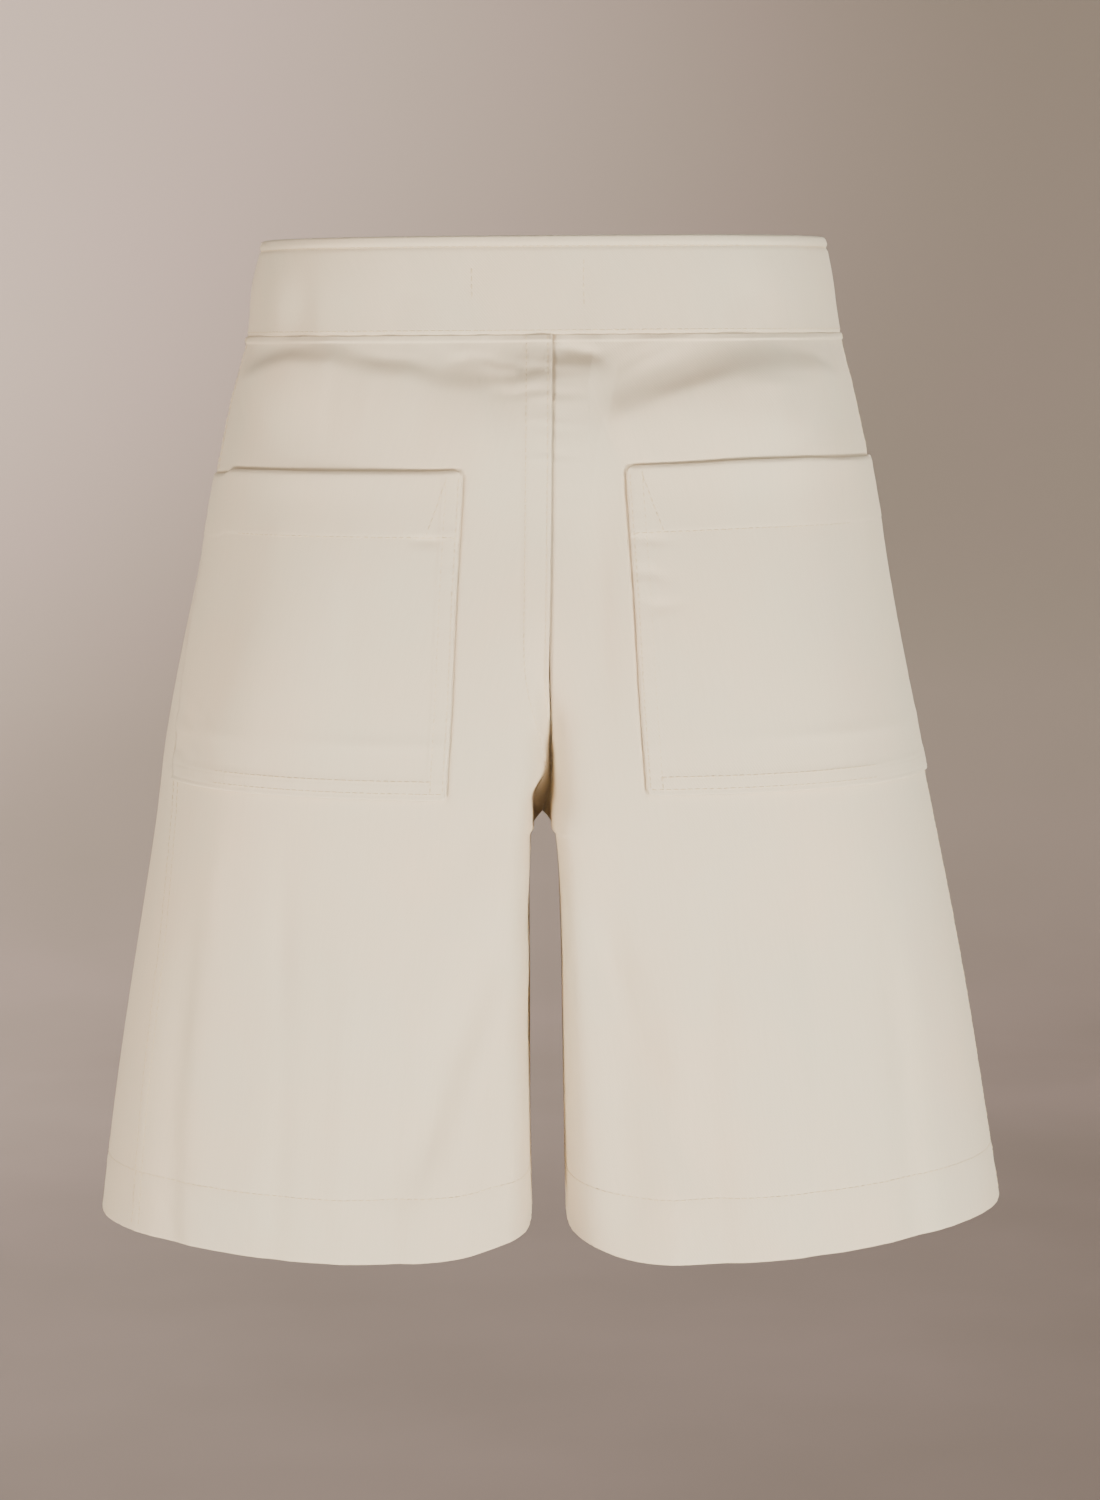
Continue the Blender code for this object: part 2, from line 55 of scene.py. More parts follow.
X_WAY = {"left": -1, "right": 1}  # the way from the middle to each side
TO_CENTRE = {"back": 1, "front": -1}  # arc positions grow towards the middle at the back and fall at the front

# ---------------------------------------------------------------- the garment's shape
BAND_HEIGHT = 46.0
BAND_TOP_Z = BAND_HEIGHT / 2
BAND_BOTTOM_Z = -BAND_HEIGHT / 2
CROTCH_Z = -266.0
HEM_Z = -468.5
HEM_DIP = 7.7  # how far the back of a hem hangs below its sides
HEM_DIP_POWER = 4
HEM_TILT = 0.024  # slope of the right hem, which is level at HEM_TILT_X
HEM_TILT_X = 115.0
INSEAM_RISE = 6.0  # how far an inseam draws up the hem beside it
INSEAM_RISE_FROM = 8.0
INSEAM_RISE_REACH = {"left": 33.0, "right": 21.0}
SEAM_GAP = 0.3

# At each height: the reach to the side, the distance of a leg's crown from the middle, the depth to the back
# and to the front, and how far the whole lies to the wearer's right.
SECTION_COLUMNS = ("z", "side", "crown", "back", "front", "sway")
SECTIONS = (
    (23.0, 141.6, 34.0, -93.5, 92.0, 0.2),
    (4.0, 146.0, 36.0, -94.5, 93.5, -0.4),
    (-23.0, 149.3, 38.0, -96.0, 95.0, 0.0),
    (-60.0, 158.8, 44.0, -102.0, 98.0, -0.3),
    (-100.0, 167.2, 50.0, -109.0, 99.5, -0.9),
    (-140.0, 174.4, 55.0, -114.0, 100.0, -1.6),
    (-180.0, 182.6, 59.0, -117.0, 100.0, -2.4),
    (-225.0, 191.4, 62.0, -117.0, 100.0, -2.5),
    (-266.0, 198.3, 65.0, -115.0, 100.0, -1.2),
    (-310.0, 206.4, 68.0, -113.0, 100.0, -0.5),
    (-360.0, 215.3, 72.0, -112.0, 101.0, -0.2),
    (-415.0, 224.0, 76.0, -111.5, 102.0, -0.1),
    (-476.0, 232.6, 79.0, -112.0, 103.0, 0.6),
)
OUTER_ROUND = 2.2  # powers of the rounding outside and inside the crown: the greater, the squarer
INNER_ROUND = 2.75
BACK_ROUND = ((-476.0, 3.5), (-400.0, 4.5), (-330.0, 6.0), (-266.0, 8.0))
RISE_OF_CURVE = {"back": 120.0, "front": 95.0}
CURVE_POWER = 1.5
VALLEY_ROUND = 4.0
ARCH_DEPTH = 3.0
GAPS = ((0.0, 6.0), (28.0, 7.0), (64.0, 8.0), (203.0, 8.9))  # below the crotch, half the gap between the legs
GAP_REACH = 16.0
SLOT_HALF = 4.2  # half width of the narrow valley that the gap leaves in the seat above the crotch
SLOT_TOP = 34.0
SLOT_FADE = 18.0
SLOT_BOTTOM = 6.0
GAP_OFFSET = -1.0
GAP_OFFSET_FROM = 90.0
GAP_OFFSET_REACH = 32.0
INSEAM_AT_HEM = {"left": -30.0, "right": 6.0}

CENTRE_LAP = 4.0  # how far the left panel runs past the middle, from LAP_FROM above the crotch
LAP_FROM = 56.0
LAP_FADE = 30.0
VALLEY_SHIFT = 4.6
VALLEY_FADE = 20.0
# Arc positions of the side seams, and distances of the pockets' inner edges from the middle.
SIDE_SEAM_COLUMNS = ("z", "left", "right")
SIDE_SEAMS = ((23.0, 4.0, 0.0), (-23.0, 8.0, 0.0), (-90.0, 20.0, 0.0), (-246.0, 50.0, 0.0), (-476.0, 66.0, 0.0))
POCKET_EDGE = ((-476.0, 64.0), (-246.0, 49.0), (-199.0, 45.8), (-150.0, 43.4), (-89.0, 39.3), (0.0, 35.0))

# ---------------------------------------------------------------- cloth and sewing
CLOTH = 1.2
HEM_TURN = 29.0
HEM_CLOTH = 2.3
POCKET_OFF = 0.3
POCKET_CLOTH = 1.3
STITCH_PITCH = 3.4
STITCH_LENGTH = 2.7
THREAD_WIDTH = 0.5
THREAD_LIFT = THREAD_WIDTH * 0.3  # of a thread's middle above the cloth
TURNINGS_DEPTH = 4.3  # the waistband seam's turnings, pressed down below it, raise a narrow strip of cloth
TURNINGS_RAISED = 0.8
BAND_PINCH = 0.9  # how deep that seam draws in the cloth's top edge
HELD_BY_BAND = 3.4  # depth of cloth that the waistband's seam keeps flat

CREASE_REACH = 2.6  # a crease has run out at this many of its half widths
# Soft creases, one a row: its half widths to the left and to the right of its line, its depth (below 0 for a
# trough, above 0 for a ridge), and the line, through places given as x, z and the strength there.
BACK_CREASES = (
    # under the waistband at the back, where the cloth's fullness is taken in
    (9, 26, 7.4, ((-152, -49, 0.05), (-140, -46, 0.8), (-121, -39, 1), (-103, -39, 0.8), (-88, -42, 0.3),
        (-76, -46, 0.1))),
    (10, 28, 4.8, ((-100, -44, 0.1), (-84, -46, 0.8), (-67, -46, 1), (-49, -52, 1), (-31, -54, 0.9),
        (-20, -52, 0.2))),
    (14, 26, 8, ((-26, -50, 0.3), (-13, -49, 0.9), (4, -48, 1), (22, -46, 1), (34, -48, 0.3))),
    (25, 30, 7.6, ((-60, -76, 0.1), (-36, -76, 0.7), (-10, -76, 1), (8, -76, 1), (26, -76, 0.9), (44, -80, 0.3))),
    (11.5, 26, 8.6, ((30, -71, 0.2), (40, -66, 0.8), (58, -57, 1), (76, -52, 1), (90, -48, 0.4))),
    (14, 26, 8.6, ((72, -52, 0.1), (90, -48, 0.8), (111, -46, 1), (128, -46, 0.9), (142, -48, 0.35),
        (150, -50, 0.02))),
    (22, 30, 6.4, ((62, -78, 0.1), (84, -74, 0.7), (110, -71, 1), (126, -71, 0.9), (142, -74, 0.3),
        (152, -76, 0.02))),
    (5, 6, 1.6, ((38, -33, 0.3), (52, -28, 1), (66, -24, 0.6))),
    (3.5, 4.5, -2.8, ((12, -30, 0.9), (22, -33, 1), (29, -38, 0.2))),
    (4, 4, 0.9, ((-42, -31, 0.6), (-32, -34, 1), (-22, -41, 0.5))),
    # small sharper wrinkles that break those up
    (3.5, 5, -1, ((-142, -34, 0.3), (-131, -30, 1), (-116, -31, 0.8), (-104, -36, 0.2))),
    (3, 4, -1, ((-94, -31, 0.2), (-79, -35, 1), (-63, -36, 0.8), (-50, -41, 0.2))),
    (2.5, 3.5, -1.1, ((-46, -38, 0.3), (-35, -34, 1), (-25, -36, 0.9), (-18, -41, 0.2))),
    (2.5, 3, -0.9, ((-19, -38, 0.4), (-10, -40, 1), (-3, -38, 0.8))),
    (2.5, 3, -1.1, ((-27, -43, 0.3), (-14, -45, 1), (-4, -42, 0.8))),
    (2.5, 3, -0.9, ((-24, -52, 0.3), (-13, -54, 1), (-3, -52, 0.7))),
    (3, 4, -1.2, ((9, -31, 0.8), (20, -34, 1), (33, -32, 0.3))),
    (3, 5, 1.1, ((36, -45, 0.2), (48, -37, 1), (63, -31, 0.5))),
    (4, 5, -0.9, ((44, -59, 0.2), (57, -50, 1), (74, -44, 0.8), (93, -40, 0.2))),
    (4, 5, 0.9, ((86, -53, 0.2), (104, -50, 1), (126, -53, 0.4))),
    (3.5, 4, -0.9, ((116, -33, 0.3), (131, -36, 1), (144, -43, 0.3))),
    (10, 12, -1.4, ((96, -50, 0.2), (124, -56, 1), (150, -64, 0.4))),
    (13, 15, 0.9, ((-130, -60, 0.2), (-96, -66, 1), (-60, -74, 0.3))),
    (11, 13, 0.8, ((60, -66, 0.2), (96, -70, 1), (132, -82, 0.3))),
    # the seat and the pockets, with puckers where the stitching pulls
    (2, 2.5, -1.4, ((-62, -122, 0.7), (-56, -122, 1), (-50, -123, 0.4))),
    (2, 2.5, -1.5, ((43, -122, 0.7), (51, -122, 1), (61, -123, 0.3))),
    (2.5, 3.5, -1.3, ((44, -137, 0.6), (52, -138, 1), (61, -142, 0.2))),
    (2.5, 3.5, -1.2, ((45, -152, 0.5), (54, -154, 1), (66, -153, 0.2))),
    (3, 4, -1.1, ((-191, -212, 0.3), (-183, -226, 1), (-176, -244, 0.3))),
    (3, 4, -1, ((-184, -204, 0.2), (-173, -220, 1), (-166, -238, 0.3))),
    (3, 3.5, 0.8, ((-178, -200, 0.2), (-166, -214, 1), (-158, -232, 0.2))),
    (7, 8, -3.2, ((24, -104, 0.2), (26, -136, 1), (27, -180, 0.9), (30, -222, 0.2))),
    (12, 8, -0.8, ((-22, -190, 0.2), (-24, -222, 1), (-32, -262, 0.3))),
    (16, 12, -2.4, ((-146, -112, 0.2), (-160, -160, 1), (-172, -206, 0.9), (-184, -250, 0.2))),
    (16, 18, -1, ((152, -120, 0.2), (164, -172, 1), (176, -222, 0.2))),
    (20, 26, 0.9, ((-60, -110, 0.2), (-104, -150, 1), (-128, -212, 0.3))),
    (24, 20, 0.8, ((58, -112, 0.2), (96, -152, 1), (122, -216, 0.3))),
    # the legs at the back, hanging from the seat
    (9, 14, -6.6, ((-12, -304, 0.1), (-27, -330, 0.7), (-46, -372, 1), (-60, -412, 0.8), (-76, -446, 0.1))),
    (14, 9, -6, ((10, -282, 0.1), (27, -326, 0.8), (44, -366, 1), (64, -412, 0.7), (84, -452, 0.1))),
    (22, 22, -1.3, ((134, -286, 0.2), (148, -340, 1), (160, -420, 0.9), (166, -474, 0.5))),
    (22, 22, -1.3, ((-134, -296, 0.2), (-148, -352, 1), (-162, -424, 0.9), (-170, -474, 0.5))),
    (26, 30, 1.2, ((-84, -280, 0.2), (-104, -350, 1), (-118, -440, 0.8), (-120, -476, 0.6))),
    (30, 26, 1.1, ((92, -286, 0.2), (104, -356, 1), (112, -440, 0.8), (114, -476, 0.6))),
    (9, 12, -1, ((-28, -262, 0.9), (-40, -276, 1), (-52, -292, 0.2))),
    (16, 12, 0.8, ((-206, -330, 0.2), (-212, -390, 1), (-216, -440, 0.2))),
    (11, 14, -6.6, ((26, -284, 0.2), (31, -330, 0.8), (36, -392, 1), (39, -440, 0.7), (39, -476, 0.25))),
    (8, 12, -5.6, ((-16, -352, 0.2), (-22, -392, 0.9), (-27, -428, 0.8), (-28, -476, 0.12))),
    # long shallow flutes that the legs hang in
    (6, 9, -1.9, ((-176, -300, 0.1), (-182, -352, 1), (-188, -410, 0.8), (-190, -476, 1))),
    (7, 6, -1.7, ((-128, -268, 0.2), (-131, -320, 1), (-130, -372, 0.4), (-134, -430, 0.9), (-136, -476, 0.6))),
    (5, 8, -1.8, ((-74, -330, 0.1), (-72, -376, 0.9), (-77, -420, 1), (-75, -476, 0.7))),
    (8, 6, 1.5, ((-100, -300, 0.1), (-98, -350, 0.8), (-103, -420, 1), (-101, -476, 0.8))),
    (6, 8, -1.9, ((78, -290, 0.1), (82, -338, 1), (80, -392, 0.7), (85, -440, 1), (86, -476, 0.8))),
    (8, 6, -1.7, ((124, -272, 0.2), (127, -330, 0.9), (132, -392, 0.5), (131, -450, 1), (134, -476, 0.8))),
    (6, 9, -2.1, ((168, -310, 0.1), (176, -372, 1), (180, -430, 0.8), (186, -476, 1))),
    (7, 7, 1.6, ((58, -320, 0.1), (62, -372, 0.9), (61, -430, 1), (64, -476, 0.7))),
    (5, 6, 0.7, ((-158, -252, 0.1), (-164, -290, 1), (-166, -330, 0.2))),
    (6, 5, -0.8, ((-92, -126, 0.1), (-95, -168, 1), (-93, -214, 0.3))),
    (5, 7, -0.8, ((104, -134, 0.1), (108, -172, 1), (107, -222, 0.2))),
)
BACK_BAND_CREASES = (
    # the waistband, which the folds below it push about
    (5, 6, -1.6, ((-143, 18, 0.3), (-141, 0, 1), (-142, -20, 0.8))),
    (5, 5, 0.9, ((-131, 16, 0.4), (-130, -4, 1), (-131, -20, 0.7))),
    (6, 7, -1.4, ((-119, 14, 0.2), (-117, -6, 1), (-119, -21, 0.7))),
    (9, 9, -1, ((-70, 14, 0.2), (-66, -4, 1), (-70, -20, 0.4))),
    (7, 7, -1, ((20, 17, 0.6), (21, 2, 1), (19, -14, 0.5))),
    (7, 7, -0.9, ((-33, 14, 0.5), (-34, 0, 1), (-32, -12, 0.4))),
    (9, 12, -1.3, ((88, 12, 0.2), (96, -6, 1), (92, -21, 0.6))),
    (8, 6, -0.7, ((132, 10, 0.2), (138, -8, 1), (136, -21, 0.7))),
)
FRONT_BAND_CREASES = (
    (9, 9, -0.7, ((-96, 14, 0.3), (-92, -4, 1), (-96, -21, 0.6))),
    (9, 9, -0.7, ((84, 14, 0.2), (88, -4, 1), (84, -21, 0.6))),
)
FRONT_CREASES = (
    # the front, where the hips and thighs pull from the crotch
    (11, 7, -2, ((-138, -44, 0.3), (-112, -34, 1), (-78, -36, 0.8), (-46, -30, 0.2))),
    (11, 7, -2.1, ((40, -30, 0.2), (70, -38, 1), (104, -42, 0.9), (138, -36, 0.3))),
    (12, 9, -2.8, ((-12, -228, 0.3), (-40, -220, 1), (-78, -204, 0.8), (-120, -186, 0.1))),
    (12, 9, -2.6, ((14, -226, 0.3), (44, -222, 1), (84, -208, 0.7), (126, -198, 0.1))),
    (14, 10, -2.1, ((-16, -252, 0.3), (-48, -250, 1), (-92, -240, 0.7), (-138, -236, 0.1))),
    (14, 10, -2.2, ((16, -252, 0.3), (52, -254, 1), (96, -246, 0.7), (136, -248, 0.1))),
    (10, 12, 0.9, ((-20, -236, 0.2), (-58, -226, 1), (-104, -208, 0.2))),
    (10, 12, 0.9, ((24, -238, 0.2), (66, -232, 1), (108, -222, 0.2))),
    (14, 18, -2.3, ((-14, -292, 0.3), (-38, -330, 1), (-66, -384, 0.9), (-86, -436, 0.2))),
    (18, 14, -2.2, ((14, -286, 0.3), (40, -326, 1), (64, -380, 0.9), (80, -440, 0.2))),
    (22, 20, -1.5, ((-128, -276, 0.2), (-146, -340, 1), (-158, -420, 0.8), (-164, -474, 0.5))),
    (20, 22, -1.5, ((130, -270, 0.2), (150, -336, 1), (160, -416, 0.8), (168, -474, 0.5))),
    (26, 28, 1.3, ((-92, -300, 0.2), (-108, -370, 1), (-116, -474, 0.7))),
    (28, 26, 1.2, ((96, -296, 0.2), (108, -372, 1), (118, -474, 0.7))),
    (16, 16, -0.9, ((-60, -84, 0.2), (-84, -128, 1), (-92, -172, 0.2))),
    (16, 16, -1, ((66, -92, 0.2), (90, -140, 1), (96, -184, 0.2))),
)


def ease(value):
    """0 to 1 with soft ends."""
    t = np.clip(value, 0.0, 1.0)
    return t * t * (3 - 2 * t)


def bell(distance, reach):
    """1 at a distance of 0, fading on either side of it over a reach."""
    return np.exp(-((distance / reach) ** 2))


def smooth_column(z, rows, column):
    """A table's column at height z, by a cubic through its rows."""
    heights = np.array([row[0] for row in rows])[::-1]
    values = np.array([row[column] for row in rows])[::-1]
    slopes = np.gradient(values, heights)
    z = np.clip(z, heights[0], heights[-1])
    k = np.minimum(np.searchsorted(heights, z, side="right") - 1, len(heights) - 2)
    step = heights[k + 1] - heights[k]
    t = (z - heights[k]) / step
    return (
        (2 * t**3 - 3 * t**2 + 1) * values[k]
        + (t**3 - 2 * t**2 + t) * step * slopes[k]
        + (3 * t**2 - 2 * t**3) * values[k + 1]
        + (t**3 - t**2) * step * slopes[k + 1]
    )


def section_size(name, z):
    return smooth_column(z, SECTIONS, SECTION_COLUMNS.index(name))


def sorted_once(digits, *groups):
    """All the values in some groups, rounded and sorted, each once."""
    return np.unique(np.round(np.concatenate(groups), digits))


def unit(vectors):
    """Vectors made 1 long."""
    return vectors / np.linalg.norm(vectors, axis=-1, keepdims=True)


def distance_along(points):
    """The distance along a line to each of its points."""
    steps = np.linalg.norm(np.diff(points, axis=0), axis=1)
    return np.concatenate([[0.0], np.cumsum(steps)])


def between(at, along, values, period=None):
    """Rows of values at some distances, from those known along a line."""
    return np.column_stack([np.interp(at, along, column, period=period) for column in values.T])


# ---------------------------------------------------------------- the chart
SWEEP_POINTS = 120
SLOPE_STEP = 0.25
ARC_STEP = 0.5
ARC_REACH = 380.0
ARCS = np.arange(-ARC_REACH, ARC_REACH + ARC_STEP, ARC_STEP)
LEVELS = sorted_once(
    4,
    np.arange(-480.0, CROTCH_Z - 4, 1.5),
    CROTCH_Z - np.linspace(0, 2, 41) ** 2,
    CROTCH_Z + np.arange(0.0, 8.0, 0.5),
    np.arange(CROTCH_Z + 8, BAND_TOP_Z + 3, 1.5),
)


def half_gap(z):
    """Half the gap between the legs, which opens as an arch at the crotch."""
    drop = CROTCH_Z - z
    if drop <= 0:
        return 0.0
    drops, halves = zip(*GAPS)
    return np.interp(drop, drops, halves) * math.sqrt(1 - (1 - min(drop / ARCH_DEPTH, 1.0)) ** 2)


def valley_shift(z):
    """How far the valley between the legs lies to the wearer's right of the gap below it."""
    rise = z - CROTCH_Z
    return VALLEY_SHIFT * ease(rise / VALLEY_FADE) * (1 - ease((rise - LAP_FROM) / LAP_FADE))


def middle_shift(z):
    """How far the middle line lies to the wearer's right."""
    return GAP_OFFSET * ease(1 - (z - CROTCH_Z) / GAP_OFFSET_FROM) + valley_shift(z)


def quarter(side, face, z):
    """Points of one face's section at height z, from the side to the centre, for the right side's x."""
    reach_out, crown, depth = (section_size(name, z) for name in ("side", "crown", face))
    sweep = np.linspace(0.0, math.pi / 2, SWEEP_POINTS)
    outer_x = crown + (reach_out - crown) * np.cos(sweep) ** (2 / OUTER_ROUND)
    outer_y = depth * np.sin(sweep) ** (2 / OUTER_ROUND)
    curved = 1 - min(max((z - CROTCH_Z) / RISE_OF_CURVE[face], 0.0), 1.0) ** CURVE_POWER
    inward = np.sin(sweep)
    raw_x = crown - (crown - VALLEY_ROUND) * inward
    inner_x = crown * np.sqrt((raw_x**2 - VALLEY_ROUND**2).clip(0) / (crown**2 - VALLEY_ROUND**2))
    inseam = INSEAM_AT_HEM[side] * min(max((CROTCH_Z - z) / (CROTCH_Z - HEM_Z), 0.0), 1.0)
    seam_share = (1 - curved**INNER_ROUND) ** (1 / INNER_ROUND)
    power = np.interp(z, *zip(*BACK_ROUND)) if face == "back" else INNER_ROUND
    reach = (1 - seam_share**power) ** (1 / power)
    inner_y = inseam + (depth - inseam) * (1 - (reach * inward) ** power).clip(0) ** (1 / power)
    arch = half_gap(z)
    reaches = SLOT_HALF - valley_shift(z) * X_WAY[side]
    slot = max(reaches, 0.0) * ease((SLOT_TOP - z + CROTCH_Z) / SLOT_FADE) if face == "back" else 0.0
    slot = slot * (1 - bell(inner_y - inner_y[-1], SLOT_BOTTOM))
    opened = np.hypot(arch, slot * math.sqrt(1 - min(arch / GAPS[0][1], 1.0) ** 2))
    inner_x = np.hypot(inner_x, opened * np.exp(-((inner_x / GAP_REACH) ** 2) / 2))
    return np.column_stack([np.append(outer_x, inner_x[1:]), np.append(outer_y, inner_y[1:])])


def chain(side, z):
    """One side's section from the centre front round the side to the centre back, and a point past each end."""
    front = quarter(side, "front", z)[::-1]
    back = quarter(side, "back", z)
    points = np.vstack([front, back[1:]])
    if z >= CROTCH_Z:
        before = points[1] * (-1, 1)
        after = points[-2] * (-1, 1)
    else:
        before = points[-2]
        after = points[1]
    points = np.vstack([before, points, after])
    points[:, 0] *= X_WAY[side]
    points[:, 0] += middle_shift(z) * bell(points[:, 0], GAP_OFFSET_REACH)
    points[:, 0] += section_size("sway", z)
    return points


def section(side, z):
    """Arc positions, places (x, y) and outward directions round one side at height z."""
    here = chain(side, z)
    along = here[2:] - here[:-2]
    rise = chain(side, z + SLOPE_STEP) - chain(side, z - SLOPE_STEP)
    up = np.column_stack([rise[1:-1], np.full(len(along), 2 * SLOPE_STEP)])
    level = np.column_stack([along, np.zeros(len(along))])
    outward = unit(np.cross(up, level) * X_WAY[side])
    points = here[1:-1]
    arcs = distance_along(points)
    return arcs - arcs[2 * (SWEEP_POINTS - 1)], points, outward


def draw_chart(side):
    """The whole surface of one side at LEVELS and ARCS. Past a centre line it goes on as its mirror image."""
    facts = np.empty((len(LEVELS), len(ARCS), 5))
    ends = np.empty((len(LEVELS), 3))
    pocket_arcs = np.empty(len(LEVELS))
    heights, distances = zip(*POCKET_EDGE)
    for row, z in enumerate(LEVELS):
        arcs, points, outward = section(side, z)
        ends[row] = arcs[0], arcs[-1], points[:, 1].min()
        known = np.column_stack([points, outward])
        if z < CROTCH_Z:
            facts[row] = between(ARCS, arcs, known, arcs[-1] - arcs[0])
        else:
            inside = np.clip(ARCS, arcs[0], arcs[-1])
            past = ARCS - inside
            facts[row] = between(inside - past, arcs, known)
            facts[row, past != 0, 0] = 2 * points[0, 0] - facts[row, past != 0, 0]
            facts[row, past != 0, 2] *= -1
        edge_x = np.interp(z, heights, distances)
        distance = np.abs(points[arcs >= 0, 0])
        order = np.argsort(distance)
        pocket_arcs[row] = np.interp(edge_x, distance[order], arcs[arcs >= 0][order])
    lines = {"front_end": ends[:, 0], "back_end": ends[:, 1], "deepest": ends[:, 2], "edge": pocket_arcs}
    return {"facts": facts, **lines}


CHARTS = {side: draw_chart(side) for side in SIDES}


def chart_line(side, name, z):
    """A line of the chart, such as the centre back's arc position, at heights z."""
    return np.interp(z, LEVELS, CHARTS[side][name])


def side_seam(side, z):
    """Arc position of the side seam."""
    return smooth_column(z, SIDE_SEAMS, SIDE_SEAM_COLUMNS.index(side))


def seam_lap(z):
    """How far past the middle the wearer's left panel runs."""
    return CENTRE_LAP * ease((z - CROTCH_Z - LAP_FROM) / LAP_FADE)


def creases(rows, x, z):
    """How far a table of soft creases moves the cloth out at arrays of places."""
    x, z = np.broadcast_arrays(x, z)
    lift = np.zeros(x.shape)
    for left, right, depth, line in rows:
        line = np.array(line, float)
        reach = CREASE_REACH * max(left, right)
        near = (x > line[:, 0].min() - reach) & (x < line[:, 0].max() + reach)
        near &= (z > line[:, 1].min() - reach) & (z < line[:, 1].max() + reach)
        if not near.any():
            continue
        px, pz = x[near], z[near]
        best = np.full(px.shape, np.inf)
        found = np.zeros(px.shape)
        for (x1, z1, s1), (x2, z2, s2) in zip(line[:-1], line[1:]):
            run = math.hypot(x2 - x1, z2 - z1)
            dx, dz = (x2 - x1) / run, (z2 - z1) / run
            along = np.clip((px - x1) * dx + (pz - z1) * dz, 0, run)
            off_x, off_z = px - x1 - along * dx, pz - z1 - along * dz
            distance = np.hypot(off_x, off_z)
            hand = (off_z * dx - off_x * dz) / np.maximum(distance, 0.001)
            width = right + (left - right) * (1 + hand) / 2
            strength = s1 + (s2 - s1) * along / run
            closer = distance < best
            best = np.where(closer, distance, best)
            found = np.where(closer, strength * bell(distance, width), found)
        lift[near] += depth * found
    return lift


def on_cloth(side, face, z, arc, lift):
    """Places on the filled-out cloth, moved out from its surface by lift, and the outward directions there.
    The waistband's seam holds the cloth, so the creases only begin below it."""
    z, arc, lift = np.broadcast_arrays(z, arc, lift)
    chart = CHARTS[side]
    row = np.clip(np.searchsorted(LEVELS, z, side="right") - 1, 0, len(LEVELS) - 2)
    down = ((z - LEVELS[row]) / (LEVELS[row + 1] - LEVELS[row]))[..., None]
    column = np.clip((arc + ARC_REACH) / ARC_STEP, 0, len(ARCS) - 1.001)
    k = column.astype(int)
    across = (column - k)[..., None]
    facts = chart["facts"]
    low = facts[row, k] * (1 - across) + facts[row, k + 1] * across
    high = facts[row + 1, k] * (1 - across) + facts[row + 1, k + 1] * across
    known = low * (1 - down) + high * down
    x, y = known[..., 0], known[..., 1]
    outward = unit(known[..., 2:])
    down_leg = np.maximum((CROTCH_Z - z) / (CROTCH_Z - HEM_Z), 0.0)
    share = np.minimum(y, 0.0) / chart_line(side, "deepest", z)
    drawn = np.where(x > 0, INSEAM_RISE_REACH["right"], INSEAM_RISE_REACH["left"])
    drawn = bell(np.maximum(np.abs(x) - INSEAM_RISE_FROM, 0.0), drawn)
    dip = HEM_DIP * share**HEM_DIP_POWER - INSEAM_RISE * share * drawn
    dip = dip + np.where(x > 0, HEM_TILT * (HEM_TILT_X - x), 0.0)
    places = np.stack([x, y, z - dip * down_leg**2], axis=-1)
    free = ease((BAND_BOTTOM_Z - SEAM_GAP - z) / HELD_BY_BAND)
    creased = creases(BACK_CREASES if face == "back" else FRONT_CREASES, x, z)
    return places + (lift + free * creased)[..., None] * outward, outward


def ripples(along, pitch, seed):
    """Uneven small waves along a seam: three lengths that don't repeat together."""
    turn = 2 * math.pi * along / pitch
    slow = 0.7 * np.sin(turn / 1.73 + 2.3 * seed)
    quick = 0.5 * np.sin(turn * 1.64 + 5.1 * seed)
    return (np.sin(turn + seed) + slow + quick) / 2.2


def puckers(height, along, pitch, seed, distance, reach):
    """The puckers that sewing leaves along a seam or a row of stitches, fading over a reach beside it."""
    return height * ripples(along, pitch, seed) * bell(distance, reach)


def groove(distance, depth, width=0.7):
    """The line that a row of stitching pulls into the cloth."""
    return -depth * bell(distance, width)


# ---------------------------------------------------------------- finishes
WAVE_PERIOD = math.pi / 10  # length of one wave of the wave texture at scale 1


def linear(hex_code):
    """An sRGB hex colour as linear red, green, blue and 1."""
    values = [int(hex_code[k : k + 2], 16) / 255 for k in (1, 3, 5)]
    return [v / 12.92 if v <= 0.04045 else ((v + 0.055) / 1.055) ** 2.4 for v in values] + [1.0]


def add_node(tree, kind, settings=(), links=()):
    """Adds a node: settings are its properties and unlinked inputs, links the sockets that feed its inputs."""
    node = tree.nodes.new(kind)
    for name, value in dict(settings).items():
        if name in node.inputs:
            node.inputs[name].default_value = value
        else:
            setattr(node, name, value)
    for name, socket in dict(links).items():
        tree.links.new(socket, node.inputs[name])
    return node


def new_finish(name):
    finish = bpy.data.materials.new(name)
    finish.use_nodes = True
    return finish, finish.node_tree, finish.node_tree.nodes["Principled BSDF"]


def in_body(tree):
    """Coordinates in metres that stay with the object."""
    return add_node(tree, "ShaderNodeTexCoord").outputs["Object"]


def on_cut(tree, **settings):
    """Coordinates in metres on the flat cut of the cloth, turned or stretched by a mapping's settings."""
    cloth = add_node(tree, "ShaderNodeUVMap", {"uv_map": "cloth"}).outputs["UV"]
    return add_node(tree, "ShaderNodeMapping", settings, {"Vector": cloth}).outputs["Vector"]


def noise(tree, vector, scale, detail, **settings):
    settings = {"Scale": scale, "Detail": detail, **settings}
    return add_node(tree, "ShaderNodeTexNoise", settings, {"Vector": vector}).outputs["Fac"]


def ribbing(tree, vector, pitch, **settings):
    """Even ribs, pitch apart in millimetres."""
    settings = {"Scale": WAVE_PERIOD / (pitch * MM), **settings}
    return add_node(tree, "ShaderNodeTexWave", settings, {"Vector": vector}).outputs["Fac"]


